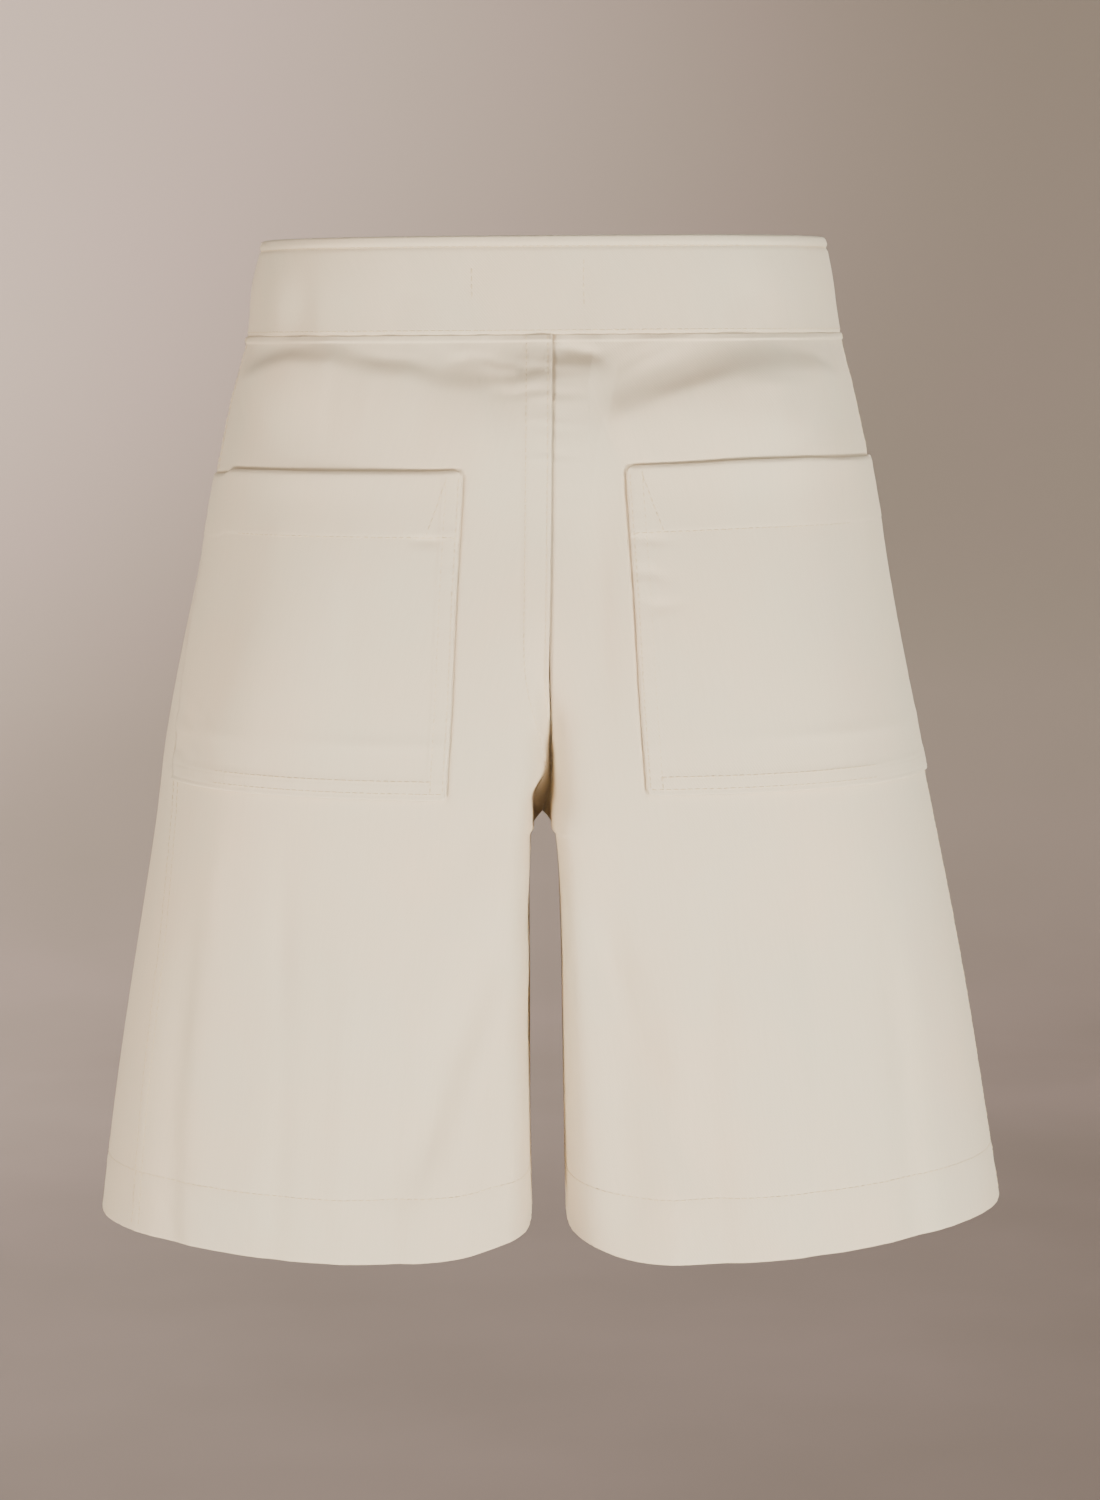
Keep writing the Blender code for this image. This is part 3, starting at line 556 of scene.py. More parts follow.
def shaded(tree, share, first, last, ends=(0.0, 1.0)):
    """A colour that goes from first to last as share goes from one end to the other."""
    ramp = add_node(tree, "ShaderNodeValToRGB", links={"Fac": share})
    for element, end, colour in zip(ramp.color_ramp.elements, ends, (first, last)):
        element.position = end
        element.color = linear(colour)
    return ramp.outputs["Color"]


def mixed(tree, share, first, second):
    """One colour over another. Each is a hex code or a socket."""
    both = {"Color1": first, "Color2": second}
    settings = {name: linear(colour) for name, colour in both.items() if isinstance(colour, str)}
    links = {name: colour for name, colour in both.items() if not isinstance(colour, str)}
    return add_node(tree, "ShaderNodeMixRGB", settings, {"Fac": share, **links}).outputs["Color"]


def ranged(tree, value, low, high, most=1.0):
    """0 to most as a value goes from low to high."""
    settings = {"From Min": low, "From Max": high, "To Max": most}
    return add_node(tree, "ShaderNodeMapRange", settings, {"Value": value}).outputs["Result"]


def relieve(tree, shader, height, strength, depth):
    """Gives a shader a fine relief, depth deep in millimetres."""
    settings = {"Strength": strength, "Distance": depth * MM}
    bump = add_node(tree, "ShaderNodeBump", settings, {"Height": height})
    tree.links.new(bump.outputs["Normal"], shader.inputs["Normal"])


def colour_in(tree, shader, colour, values):
    """Gives a shader its colour and its own even values."""
    tree.links.new(colour, shader.inputs["Base Color"])
    for name, value in values.items():
        shader.inputs[name].default_value = value


def cotton_twill():
    """Heavy cotton drill, woven 3/1 and washed: dry and matt, with fine diagonal ribs, uneven yarns that
    show as faint upright streaks, and a soft fuzz that catches light at the edges."""
    finish, tree, shader = new_finish("washed cotton twill")
    # The ribs are 0.8 mm apart on the real cloth. They are drawn 1.3 mm apart to show at all.
    slanted = on_cut(tree, Rotation=(0, 0, math.radians(27)))
    ribs = ribbing(tree, slanted, 1.3, Distortion=0.8, Detail=2.0, **{"Detail Scale": 3.0})
    # Yarns swell and thin over 15 to 40 mm of their length and are about 1 mm across.
    yarns = noise(tree, on_cut(tree, Scale=(900, 45, 1)), 1.0, 3.0)
    # Washing has left paler patches 50 to 100 mm across.
    washed = noise(tree, in_body(tree), 14.0, 4.0, Roughness=0.55)
    patches = shaded(tree, washed, "#ead9c3", "#e4dac7", (0.3, 0.7))
    streaked = mixed(tree, ranged(tree, yarns, 0.35, 0.75, 0.22), patches, "#dacdb6")
    height = add_node(tree, "ShaderNodeMath", {"operation": "ADD"}, {0: ribs, 1: yarns}).outputs["Value"]
    relieve(tree, shader, height, 0.35, 0.1)
    fuzz = {"Sheen Weight": 0.12, "Sheen Roughness": 0.6}
    colour_in(tree, shader, streaked, {"Roughness": 0.88, "Specular IOR Level": 0.25, **fuzz})
    return finish


def sewing_thread():
    """Spun polyester-cotton thread: a shade deeper than the cloth, with a slight gloss from its twist."""
    finish, tree, shader = new_finish("spun sewing thread")
    twist = noise(tree, in_body(tree), 1600.0, 2.0)  # the two plies cross every 0.6 mm
    relieve(tree, shader, twist, 0.4, 0.05)
    colour_in(tree, shader, shaded(tree, twist, "#dccaa8", "#ecdcbd"), {"Roughness": 0.6})
    return finish


def zip_tape_weave():
    """Woven polyester zip tape: smoother than the cloth, with fine ribs across it and a faint sheen."""
    finish, tree, shader = new_finish("woven polyester zip tape")
    ribs = ribbing(tree, on_cut(tree, Rotation=(0, 0, math.radians(90))), 0.9, Distortion=0.4)
    relieve(tree, shader, ribs, 0.5, 0.12)
    colour_in(tree, shader, shaded(tree, ribs, "#cbbb9e", "#ddceb2"), {"Roughness": 0.7})
    return finish


def moulded_acetal():
    """Moulded acetal zip teeth: creamy, smooth and a little waxy."""
    finish, tree, shader = new_finish("moulded acetal teeth")
    peel = noise(tree, in_body(tree), 2000.0, 1.0)  # the mould leaves a slight orange peel about 0.5 mm across
    relieve(tree, shader, peel, 0.15, 0.03)
    colour_in(tree, shader, shaded(tree, peel, "#d8c8a8", "#e2d5ba"), {"Roughness": 0.42, "IOR": 1.48})
    return finish


def cast_resin():
    """Cast polyester resin, turned and tumbled: milky with slow swirls of a deeper cream, and a satin gloss."""
    finish, tree, shader = new_finish("cast polyester resin button")
    swirl = noise(tree, in_body(tree), 190.0, 3.0, Distortion=2.2)  # the swirls of the cast rod are 3 to 8 mm long
    relieve(tree, shader, swirl, 0.1, 0.05)
    shade = shaded(tree, swirl, "#c3ae88", "#dccaa8", (0.35, 0.62))
    colour_in(tree, shader, shade, {"Roughness": 0.32, "IOR": 1.54})
    return finish


# ---------------------------------------------------------------- making pieces
def show(name, mesh, finish):
    """Puts a finished mesh in the scene as a piece that moves with the garment."""
    piece = bpy.data.objects.new(name, mesh)
    bpy.context.scene.collection.objects.link(piece)
    mesh.materials.append(finish)
    mesh.shade_smooth()
    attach(piece, "root")
    return piece


def rim_directions(grid, bulges):
    """Border vertices of a grid in order round it, and the way out of it at each, longer where it bulges."""
    rows, columns = grid.shape[:2]
    top, centre, bottom, side = bulges
    border = [(0, j) for j in range(columns)]
    border += [(i, columns - 1) for i in range(1, rows)]
    border += [(rows - 1, j) for j in range(columns - 2, -1, -1)]
    border += [(i, 0) for i in range(rows - 2, 0, -1)]
    ways = []
    for i, j in border:
        way = np.zeros(3)
        inner_i = {0: 1, rows - 1: rows - 2}.get(i, i)
        inner_j = {0: 1, columns - 1: columns - 2}.get(j, j)
        if inner_i != i:
            way += unit(grid[i, j] - grid[inner_i, j]) * (top if i == 0 else bottom)
        if inner_j != j:
            way += unit(grid[i, j] - grid[i, inner_j]) * (side if j == 0 else centre)
        ways.append(way)
    return np.array(border), np.array(ways)


RIM_STEPS = 3  # rows of places between the two faces, round an edge


def new_mesh(name, vertices, faces):
    mesh = bpy.data.meshes.new(name)
    mesh.from_pydata(vertices, [], faces)
    return mesh


def shell(name, outer, inner, uv, bulges):
    """A closed sheet of cloth between two grids of places, with edges that round out by bulges (top,
    centre, bottom, side) times half the cloth's thickness."""
    rows, columns = outer.shape[:2]
    border, ways = rim_directions(outer, bulges)
    edge_out = outer[border[:, 0], border[:, 1]]
    edge_in = inner[border[:, 0], border[:, 1]]
    middle = (edge_out + edge_in) / 2
    half = (edge_out - edge_in) / 2
    thickness = np.linalg.norm(half, axis=1)[:, None]
    rims = []
    for angle in math.pi * np.arange(1, RIM_STEPS + 1) / (RIM_STEPS + 1):
        rims.append(middle + half * math.cos(angle) + ways * thickness * math.sin(angle))
    vertices = np.vstack([outer.reshape(-1, 3), inner.reshape(-1, 3), *rims]) * MM
    numbers = np.arange(rows * columns).reshape(rows, columns)
    a, b, c, d = numbers[:-1, :-1], numbers[:-1, 1:], numbers[1:, 1:], numbers[1:, :-1]
    faces = [np.stack([a, b, c, d], axis=-1).reshape(-1, 4)]
    faces.append(np.stack([d, c, b, a], axis=-1).reshape(-1, 4) + rows * columns)
    flat = border[:, 0] * columns + border[:, 1]
    rim_numbers = 2 * rows * columns + np.arange(RIM_STEPS * len(border)).reshape(RIM_STEPS, -1)
    loops = [flat, *rim_numbers, flat + rows * columns]
    for near, far in zip(loops[:-1], loops[1:]):
        faces.append(np.stack([near, far, np.roll(far, -1), np.roll(near, -1)], axis=-1))
    faces = np.vstack(faces)
    mesh = new_mesh(name, vertices.tolist(), faces.tolist())
    uv = uv.reshape(-1, 2)
    coordinates = np.vstack([uv, uv] + [uv[flat]] * RIM_STEPS)
    layer = mesh.uv_layers.new(name="cloth")
    layer.data.foreach_set("uv", coordinates[faces.ravel()].ravel() * MM)
    tidy = bmesh.new()
    tidy.from_mesh(mesh)
    bmesh.ops.recalc_face_normals(tidy, faces=tidy.faces)
    tidy.to_mesh(mesh)
    tidy.free()
    return mesh


def sewn(name, replaced, outer, inner, uv, bulges, finish):
    """A sheet of cloth between two grids of places, shown in the place of one of the garment's solids."""
    piece = show(name, shell(name, outer, inner, np.stack(uv, axis=-1), bulges), finish)
    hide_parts(replaced)
    return piece


# ---------------------------------------------------------------- the four panels
# Distances of a panel's columns from its side seam, from its middle edge and from the pocket's edge.
SIDE_STEPS = np.array((0.0, 0.3, 0.8, 1.4, 2.0, 2.8, 4.0, 5.4, 6.2, 6.8, 7.6, 8.8, 11.0))
CENTRE_STEPS = np.array(
    (0.0, 0.3, 0.8, 1.3, 1.8, 2.3, 3.0, 4.4, 6.4, 8.6, 10.6, 11.5, 12.2, 12.9, 13.6, 14.8, 17.0)
)
POCKET_EDGE_STEPS = np.array((-2.0, -1.2, -0.6, -0.2, 0.2, 0.6, 1.0, 1.5, 2.1, 3.0, 4.2))
PLAIN_COLUMNS = {"back": (66, 22), "front": (92,)}  # columns in the plain cloth between those
HEM_STITCH_Z = HEM_Z + HEM_TURN
FELL_WIDTH = 12.2  # from the folded edge of a flat-felled seam to its second row of stitching
FELL_EDGE = 1.8  # from that edge to its first row, and the width of the step at its far side
FELL_RAISED = 1.0
TUCKED = 1.3  # how deep the right panel's edge is pressed under the seam
TUCK_WIDTH = 2.6
SEAM_FADE = 12.0  # height above the crotch in which the felled seam runs out
SIDE_FELL_ROWS = (1.4, 6.8)
FLY_STITCH = 38.0  # from the front edge to the curved row that holds the fly's facing
FLY_TURN = -112.0  # where that row begins to curve
FACING_RAISED = 0.6
FLY_END = FLY_TURN - FLY_STITCH


def panel_heights():
    """Heights of a panel's rows from the top down, closest at its seams and its stitching."""
    top = BAND_BOTTOM_Z - SEAM_GAP
    return sorted_once(
        3,
        top - np.array((0.0, 0.3, 0.6, 0.9, 1.4, 2.2, 3.0, 3.4, 3.8, 4.2, 4.8, 5.6)),
        np.linspace(top - 6.8, -82.0, 40),
        np.arange(-83.2, -94.0, -0.6),
        np.linspace(-95.0, CROTCH_Z + 8, 72),
        CROTCH_Z + np.array((6.0, 4.2, 2.8, 1.6, 0.7, 0.0, -0.15, -0.5, -1.1, -2.0, -3.2, -5.0, -7.0)),
        np.linspace(CROTCH_Z - 9, HEM_STITCH_Z + 2.4, 62),
        HEM_STITCH_Z + np.array((1.4, 0.7, 0.0, -0.7, -1.4, -2.6)),
        np.linspace(HEM_STITCH_Z - 5, HEM_Z + 3.6, 10),
        HEM_Z + np.array((2.2, 1.2, 0.5, 0.0)),
    )[::-1]


def panel_edges(side, face, z):
    """Arc positions of a panel's side-seam edge and of its edge at the middle or the inseam."""
    lap = seam_lap(z) * -X_WAY[side]
    if face == "back":
        return side_seam(side, z) + SEAM_GAP / 4, chart_line(side, "back_end", z) - SEAM_GAP / 4 + lap
    return side_seam(side, z) - SEAM_GAP / 4, chart_line(side, "front_end", z) + SEAM_GAP / 4 - lap


def pocket_ends(side, across):
    """Heights of a pocket's mouth and base."""
    return (np.interp(across, *zip(*POCKET_EDGES[side][name])) for name in ("mouth", "base"))


def pocket_press(side, z, arc):
    """The narrow hollow that a pocket's turned edge and mouth press into the seat beside them."""
    start, end = side_seam(side, z), chart_line(side, "edge", z)
    across = (arc - start) / (end - start)
    mouth, base = pocket_ends(side, across)
    beside = groove(arc - end - 0.5, POCKET_PRESS, 1.1) * ease((mouth - z) / 3) * ease((z - base + 1) / 3)
    above = groove(z - mouth - 0.4, POCKET_PRESS, 1.2) * ease((end - arc) / 5) * ease((across - 0.02) / 0.04)
    return beside + above


def panel_lift(side, face, z, from_side, from_centre, arc):
    """Relief of a panel's face: felled seams, stitched grooves, the turned hem and the puckers of sewing."""
    seed = {"left": 1.0, "right": 2.6}[side] + {"back": 0.0, "front": 4.1}[face]  # no two panels pucker alike
    rise = ease((z - CROTCH_Z) / SEAM_FADE)
    lift = np.zeros(z.shape)
    if side == "left":
        raised = FELL_RAISED * ease((FELL_WIDTH + FELL_EDGE - from_centre) / FELL_EDGE)
        second = groove(from_centre - FELL_WIDTH, 0.45)
        if face == "front":
            below_fly = ease((FLY_END - 4 - z) / 5)
            raised = raised * below_fly + FACING_RAISED * ease((FLY_STITCH + 1.5 - from_centre) / 3) * (1 - below_fly)
            from_row = np.hypot(from_centre, np.maximum(FLY_TURN - z, 0.0)) - FLY_STITCH
            second = second * below_fly + groove(from_row, 0.6, 0.9) * (1 - below_fly)
        lift += rise * (raised + groove(from_centre - FELL_EDGE, 0.4) + second)
    else:
        lift -= rise * TUCKED * (1 - ease(from_centre / TUCK_WIDTH))
    pulled = 0.42 * ease((z + 130) / 90) + 0.14  # the centre-back seam pulls more towards the waist
    lift += puckers(rise * pulled, z, 9.5, seed, from_centre, 13)
    lift += (1 - rise) * (groove(from_centre, 0.45, 1.0) + puckers(0.15, z, 11, seed + 1, from_centre, 8))
    if face == "back":
        fell = 0.25 * ease((SIDE_FELL_ROWS[1] + 2.2 - from_side) / 3.5)
        lift += fell + sum(groove(from_side - row, 0.16, 0.9) for row in SIDE_FELL_ROWS)
    else:
        lift += groove(from_side, 0.18, 1.2)
    knot = bell(z + 236, 16) if side == "left" else 0.0  # where the pocket's bottom edge meets the side seam
    lift += puckers(0.2 + 0.5 * knot, z, 10.5, seed + 2, from_side, 11)
    under_band = BAND_BOTTOM_Z - z
    lift += puckers(0.3, arc, 15, seed + 3, under_band, 7)
    lift += TURNINGS_RAISED * ease((TURNINGS_DEPTH - under_band) / 0.9)
    lift -= BAND_PINCH * (1 - ease((under_band - 0.3) / 0.8))
    over_hem = z - HEM_STITCH_Z
    lift += groove(over_hem, 0.14, 1.1) + 0.12 * ease(-over_hem / 5)
    if face == "back":
        lift += pocket_press(side, z, arc)
    roping = ripples(arc + 0.8 * z, 13, seed + 4)  # the slanted twist of a turned hem
    return lift + 0.22 * roping * ease((14 - over_hem) / 14)


def panel(side, face, finish):
    heights = panel_heights()
    start, end = panel_edges(side, face, heights)
    way = TO_CENTRE[face]
    stops = [start[:, None] + way * SIDE_STEPS, end[:, None] - way * CENTRE_STEPS[::-1]]
    if face == "back":
        stops.insert(1, chart_line(side, "edge", heights)[:, None] + POCKET_EDGE_STEPS)
    columns = [stops[0]]
    for near, far, count in zip(stops[:-1], stops[1:], PLAIN_COLUMNS[face]):
        inside = np.linspace(0, 1, count + 2)[1:-1]
        columns += [near[:, -1:] + (far[:, :1] - near[:, -1:]) * inside, far]
    arc = np.hstack(columns)
    z = np.repeat(heights[:, None], arc.shape[1], axis=1)
    from_side = np.abs(arc - start[:, None])
    from_centre = np.abs(end[:, None] - arc)
    lift = panel_lift(side, face, z, from_side, from_centre, arc)
    thickness = CLOTH + (HEM_CLOTH - CLOTH) * ease((HEM_STITCH_Z + 0.8 - z) / 1.6)
    outer, _ = on_cloth(side, face, z, arc, lift)
    inner, _ = on_cloth(side, face, z, arc, np.minimum(lift, FELL_RAISED) - thickness)
    sign = X_WAY[side]
    for grid in (outer, inner):
        middle = middle_shift(z) + section_size("sway", z)
        held = middle + sign * np.maximum(sign * (grid[..., 0] - middle), SEAM_GAP / 4)
        grid[..., 0] = np.where(seam_lap(grid[..., 2]) == 0, held, grid[..., 0])
    bulges = (0.2, 0.4, 1.0, 0.1)
    piece = sewn(f"{face}_panel_{side}", f"{face}_{side}", outer, inner, (arc, z), bulges, finish)


# ---------------------------------------------------------------- the waistband
BAND_CLOTH = 2.4
BAND_PROUD = 0.8
BAND_OVER = 14.0  # how far the end on top runs past the centre front
BAND_UNDER = 22.0  # how far the end beneath it does
BAND_RAMP = 34.0  # in which each end steps out or in by half the waistband's thickness
BAND_ROW_END = 4.0  # from each end to the row across it
BAND_COLUMNS = 460
BAND_TOP_STITCH = 4.2  # below the top edge
BAND_BOTTOM_STITCH = 1.5  # above the bottom edge


def waist_loop(z):
    """Arc lengths, places and outward directions round the whole waist, from the centre front by the
    wearer's right, the back and the left."""
    _, right, right_out = section("right", z)
    _, left, left_out = section("left", z)
    points = np.vstack([right, left[::-1][1:]])
    outward = np.vstack([right_out, left_out[::-1][1:]])
    return distance_along(points), points, outward


def band_round(z):
    """Length round the waist at height z."""
    return waist_loop(z)[0][-1]


def band_relief(s, z, x, y, total):
    """Relief of the waistband: two rows of stitching, the rolled top edge and what they pull in."""
    from_top, from_bottom = BAND_TOP_Z - z, z - BAND_BOTTOM_Z
    lift = groove(from_top - BAND_TOP_STITCH, 0.8, 1.0) + groove(from_bottom, 0.35, 0.7)
    lift += groove(from_bottom - BAND_BOTTOM_STITCH, 0.1, 0.6) + 0.35 * bell(from_top - 1.8, 1.5)
    lift += puckers(0.24, s, 12.5, 1.7, from_top - BAND_TOP_STITCH, 6)
    lift += puckers(0.3, s, 14.5, 4.4, from_bottom - BAND_BOTTOM_STITCH, 8)
    lift += creases(BACK_BAND_CREASES, x, z) * (y < 0) + creases(FRONT_BAND_CREASES, x, z) * (y > 0)
    ends = np.minimum(s + BAND_UNDER, total + BAND_OVER - s)
    return lift + groove(ends - BAND_ROW_END, 0.35, 0.9)


def on_band(s, z, lift=0.0, bare=False):
    """Places on the waistband's outer face, s round it from the centre front by the wearer's right."""
    s, z, lift = np.broadcast_arrays(s, z, lift)
    places = np.empty(s.shape + (3,))
    outward = np.empty(s.shape + (3,))
    half_step = (BAND_CLOTH + SEAM_GAP) / 2
    for level in np.unique(z):
        here = z == level
        lengths, points, directions = waist_loop(level)
        total = lengths[-1]
        run = s[here]
        wrapped = run % total
        x, y = between(wrapped, lengths, points).T
        out = unit(between(wrapped, lengths, directions))
        under = 1 - ease((run - BAND_OVER) / BAND_RAMP)
        over = ease((run - total + BAND_UNDER + BAND_RAMP) / BAND_RAMP)
        raised = BAND_PROUD + half_step * (over - under) + lift[here]
        if not bare:
            raised = raised + band_relief(run, level, x, y, total)
        places[here] = np.column_stack([x, y, np.full(len(x), level)]) + out * raised[:, None] * (1, 1, 0)
        outward[here] = out
    return places, outward


def waistband(finish):
    """A straight folded strip, its wearer's-left end lapped over its right end."""
    heights = np.concatenate(
        [
            BAND_TOP_Z - np.array((0.0, 0.5, 1.1, 1.9, 2.8, 3.4, 3.8, 4.2, 4.6, 5.0, 5.8, 7.0, 8.6)),
            np.linspace(BAND_TOP_Z - 10.5, BAND_BOTTOM_Z + 8.2, 14),
            BAND_BOTTOM_Z + np.array((6.4, 5.0, 4.2, 3.7, 3.3, 3.0, 2.7, 2.3, 1.7, 1.0, 0.4, 0.0)),
        ]
    )
    totals = np.array([band_round(z) for z in heights])
    share = np.linspace(0, 1, BAND_COLUMNS)
    s = -BAND_UNDER + (totals[:, None] + BAND_OVER + BAND_UNDER) * share
    z = np.repeat(heights[:, None], BAND_COLUMNS, axis=1)
    outer, _ = on_band(s, z)
    inner, _ = on_band(s, z, -BAND_CLOTH, bare=True)
    piece = sewn("waistband_strip", "waistband", outer, inner, (s, z), (0.9, 0.8, 0.7, 0.8), finish)


# ---------------------------------------------------------------- the patch pockets
# Heights of each pocket's mouth and base, from 0 at the side seam to 1 at the inner edge.
POCKET_EDGES = {
    "left": {
        "mouth": ((0.0, -92.2), (0.17, -91.4), (0.21, -89.2), (1.0, -89.9)),
        "base": ((0.0, -243.0), (1.0, -247.0)),
    },
    "right": {
        "mouth": ((0.0, -86.0), (0.3, -85.6), (0.7, -86.4), (1.0, -88.2)),
        "base": ((0.0, -240.6), (0.02, -242.2), (0.05, -243.0), (1.0, -245.0)),
    },
}
POCKET_GAPE = 2.1  # how far the middle of its mouth stands off the seat
POCKET_HEM = 31.0
POCKET_CORNER = 4.5
POCKET_PRESS = 1.3  # depth of the hollow beside its edges
POCKET_CAUGHT = 0.8  # how deep the side seam draws it in
POCKET_WIDE = 130.0  # a usual width and depth, which space out its columns and rows
POCKET_DEEP = 157.0
POCKET_STITCHES = (1.6, 7.6)  # two rows along the inner edge and the base
INNER_STEPS = (22.0, 19.0, 16.5, 14.0, 12.0, 10.2, 9.2, 8.2, 7.7, 7.2, 6.7, 6.2, 5.4, 4.4, 3.4, 2.7, 2.2, 1.8)
BASE_STEPS = (14.5, 13.0, 11.0, 9.4, 8.2, 7.7, 7.2, 6.7, 6.2, 5.0, 3.8, 2.8, 2.2, 1.8)
LAST_STEPS = (1.4, 1.0, 0.6, 0.3, 0.0)
POCKET_COLUMNS = np.append(np.linspace(0, 0.82, 58), 1 - np.array(INNER_STEPS + LAST_STEPS) / POCKET_WIDE)
POCKET_ROWS = np.concatenate(
    [
        (0.0, 0.3, 0.7, 1.2, 1.8, 2.6, 3.6, 5.0, 7.0, 9.5),
        np.linspace(12.5, 28.0, 12),
        (29.2, 30.0, 30.6, 31.0, 31.4, 32.0, 33.0, 34.5),
        np.linspace(36.5, 141.0, 62),
        POCKET_DEEP - np.array(BASE_STEPS + LAST_STEPS),
    ]
) / POCKET_DEEP


def pocket_gape(across, from_mouth):
    """How far the pocket's mouth stands off the seat."""
    stands = np.sin(math.pi * np.clip((across - 0.1) / 0.9, 0, 1)) ** 0.5
    return POCKET_GAPE * stands * bell(from_mouth, 10)


def pocket_relief(side, z, across, from_mouth, from_edge, from_base):
    """Relief of a pocket: its hem, stitched rows, turned edges, and the mouth standing off the seat."""
    seed = {"left": 0.7, "right": 3.3}[side]
    lift = 0.25 * ease((POCKET_HEM + 1.4 - from_mouth) / 2.8) + groove(from_mouth - POCKET_HEM, 0.18, 1.0)
    lift += pocket_gape(across, from_mouth)
    near_edge = np.minimum(from_edge, from_base)
    lift += 0.5 * ease((10.5 - near_edge) / 2.0) * ease(across / 0.12)
    stitched = ease(from_mouth / 3)
    rows = sum(groove(near_edge - row, depth, 0.6) for row, depth in zip(POCKET_STITCHES, (0.3, 0.32)))
    lift += stitched * rows * np.where(from_edge < from_base, 1.0, 0.4)
    run = across * POCKET_WIDE
    lift += puckers(0.28, np.where(from_edge < from_base, z, run), 10, seed, near_edge, 9)
    # a soft ridge runs along the pocket above its base
    lift += 0.8 * bell(from_base - 26, 3.5) * (0.6 + 0.4 * np.sin(across * 9 + seed))
    return lift + puckers(0.25, run, 16, seed + 2, from_mouth - POCKET_HEM, 9)


def pocket_places(side, across, down, extra=0.0, bare=False):
    """Places on a pocket. across is 0 at the side seam and 1 at the inner edge, down 0 at its mouth and 1
    at its base."""
    across, down = np.broadcast_arrays(across, down)
    mouth, base = pocket_ends(side, across)
    z = mouth + (base - mouth) * down
    start = side_seam(side, z) + SEAM_GAP / 4
    end = chart_line(side, "edge", z)
    from_edge = (1 - across) * (end - start)
    tuck = np.clip(POCKET_CORNER - from_edge, 0, POCKET_CORNER)
    corner = POCKET_CORNER - np.sqrt(POCKET_CORNER**2 - tuck**2)
    z = z - corner * (1 - down) + 0.4 * corner * down
    arc = start + (chart_line(side, "edge", z) - start) * across
    from_mouth, from_base = (mouth - base) * down, (mouth - base) * (1 - down)
    relief = pocket_relief(side, z, across, from_mouth, from_edge, from_base)
    below = panel_lift(side, "back", z, arc - start, chart_line(side, "back_end", z) - arc, arc)
    if bare:
        relief = pocket_gape(across, from_mouth) - POCKET_CLOTH
    caught = 0.0 if bare else POCKET_CAUGHT * bell(arc - start, 5)
    lift = POCKET_OFF + POCKET_CLOTH - caught + np.minimum(below, 0.5) + relief + extra
    places, outward = on_cloth(side, "back", z, arc, lift)
    return places, outward, arc, z


def pocket(side, finish):
    across, down = np.meshgrid(POCKET_COLUMNS, POCKET_ROWS)
    outer, _, arc, z = pocket_places(side, across, down)
    inner = pocket_places(side, across, down, bare=True)[0]
    bulges = (0.9, 0.9, 0.9, 0.1)
    piece = sewn(f"patch_pocket_{side}", f"pocket_{side}", outer, inner, (arc, z), bulges, finish)


# ---------------------------------------------------------------- the front opening
SHIELD_X = (-22.0, 22.0)
SHIELD_Z = (-26.0, -160.0)
ZIP_CLOTH = 1.6
ZIP_CENTRE = -4.0
ZIP_HALF_WIDTH = 13.0
ZIP_Z = (-27.0, -148.0)
TAPE_CLOTH = 0.9
TOOTH_PITCH = 1.6
TOOTH_SIZE = (3.2, 0.8, 1.0)
TOOTH_OFF = 0.9  # of its row from the middle of the tape


def front_face(x, z, depth):
    """Places behind the front panels' outer faces, depth in from them, at arrays of x and z."""
    x, z = np.broadcast_arrays(x, z)
    places = np.empty(x.shape + (3,))
    for level in np.unique(z):
        here = z == level
        arcs, points, _ = section("right", level)
        front = arcs <= 0
        y = np.interp(np.abs(x[here]), points[front, 0], points[front, 1])
        places[here] = np.column_stack([x[here], y - depth, z[here]])
    return places


def fly_shield(finish):
    x, z = np.meshgrid(np.linspace(*SHIELD_X, 24), np.linspace(*SHIELD_Z, 56))
    near = CLOTH + 2 * SEAM_GAP + ZIP_CLOTH
    outer, inner = front_face(x, z, near), front_face(x, z, near + CLOTH)
    piece = sewn("shield_flap", "fly_shield", outer, inner, (x, z), (0.5, 0.8, 0.5, 0.8), finish)


def zip_teeth(finish):
    """Two rows of moulded teeth that mesh along the middle of the tape."""
    mesh = bmesh.new()
    for k, height in enumerate(np.arange(ZIP_Z[0] - 4, ZIP_Z[1] + 6, -TOOTH_PITCH)):
        across = ZIP_CENTRE + (TOOTH_OFF if k % 2 else -TOOTH_OFF)
        middle = front_face(np.array([across]), np.array([height]), CLOTH + SEAM_GAP + TAPE_CLOTH / 2)[0]
        tooth = bmesh.ops.create_cube(mesh, size=1.0)["verts"]
        bmesh.ops.scale(mesh, vec=np.array(TOOTH_SIZE) * MM, verts=tooth)
        bmesh.ops.translate(mesh, vec=middle * MM, verts=tooth)
    data = bpy.data.meshes.new("zip_teeth")
    mesh.to_mesh(data)
    mesh.free()
    teeth = show("zip_teeth", data, finish)
    data.set_sharp_from_angle(angle=math.radians(30))
    return teeth


def closed_zip(tape_finish, teeth_finish):
    columns = np.linspace(ZIP_CENTRE - ZIP_HALF_WIDTH, ZIP_CENTRE + ZIP_HALF_WIDTH, 20)
    x, z = np.meshgrid(columns, np.linspace(*ZIP_Z, 50))
    near = CLOTH + SEAM_GAP + 0.5
    outer, inner = front_face(x, z, near), front_face(x, z, near + TAPE_CLOTH)
    tape = sewn("zip_tape", "fly_zip", outer, inner, (x, z), (0.3, 0.5, 0.3, 0.5), tape_finish)
    teeth = zip_teeth(teeth_finish)


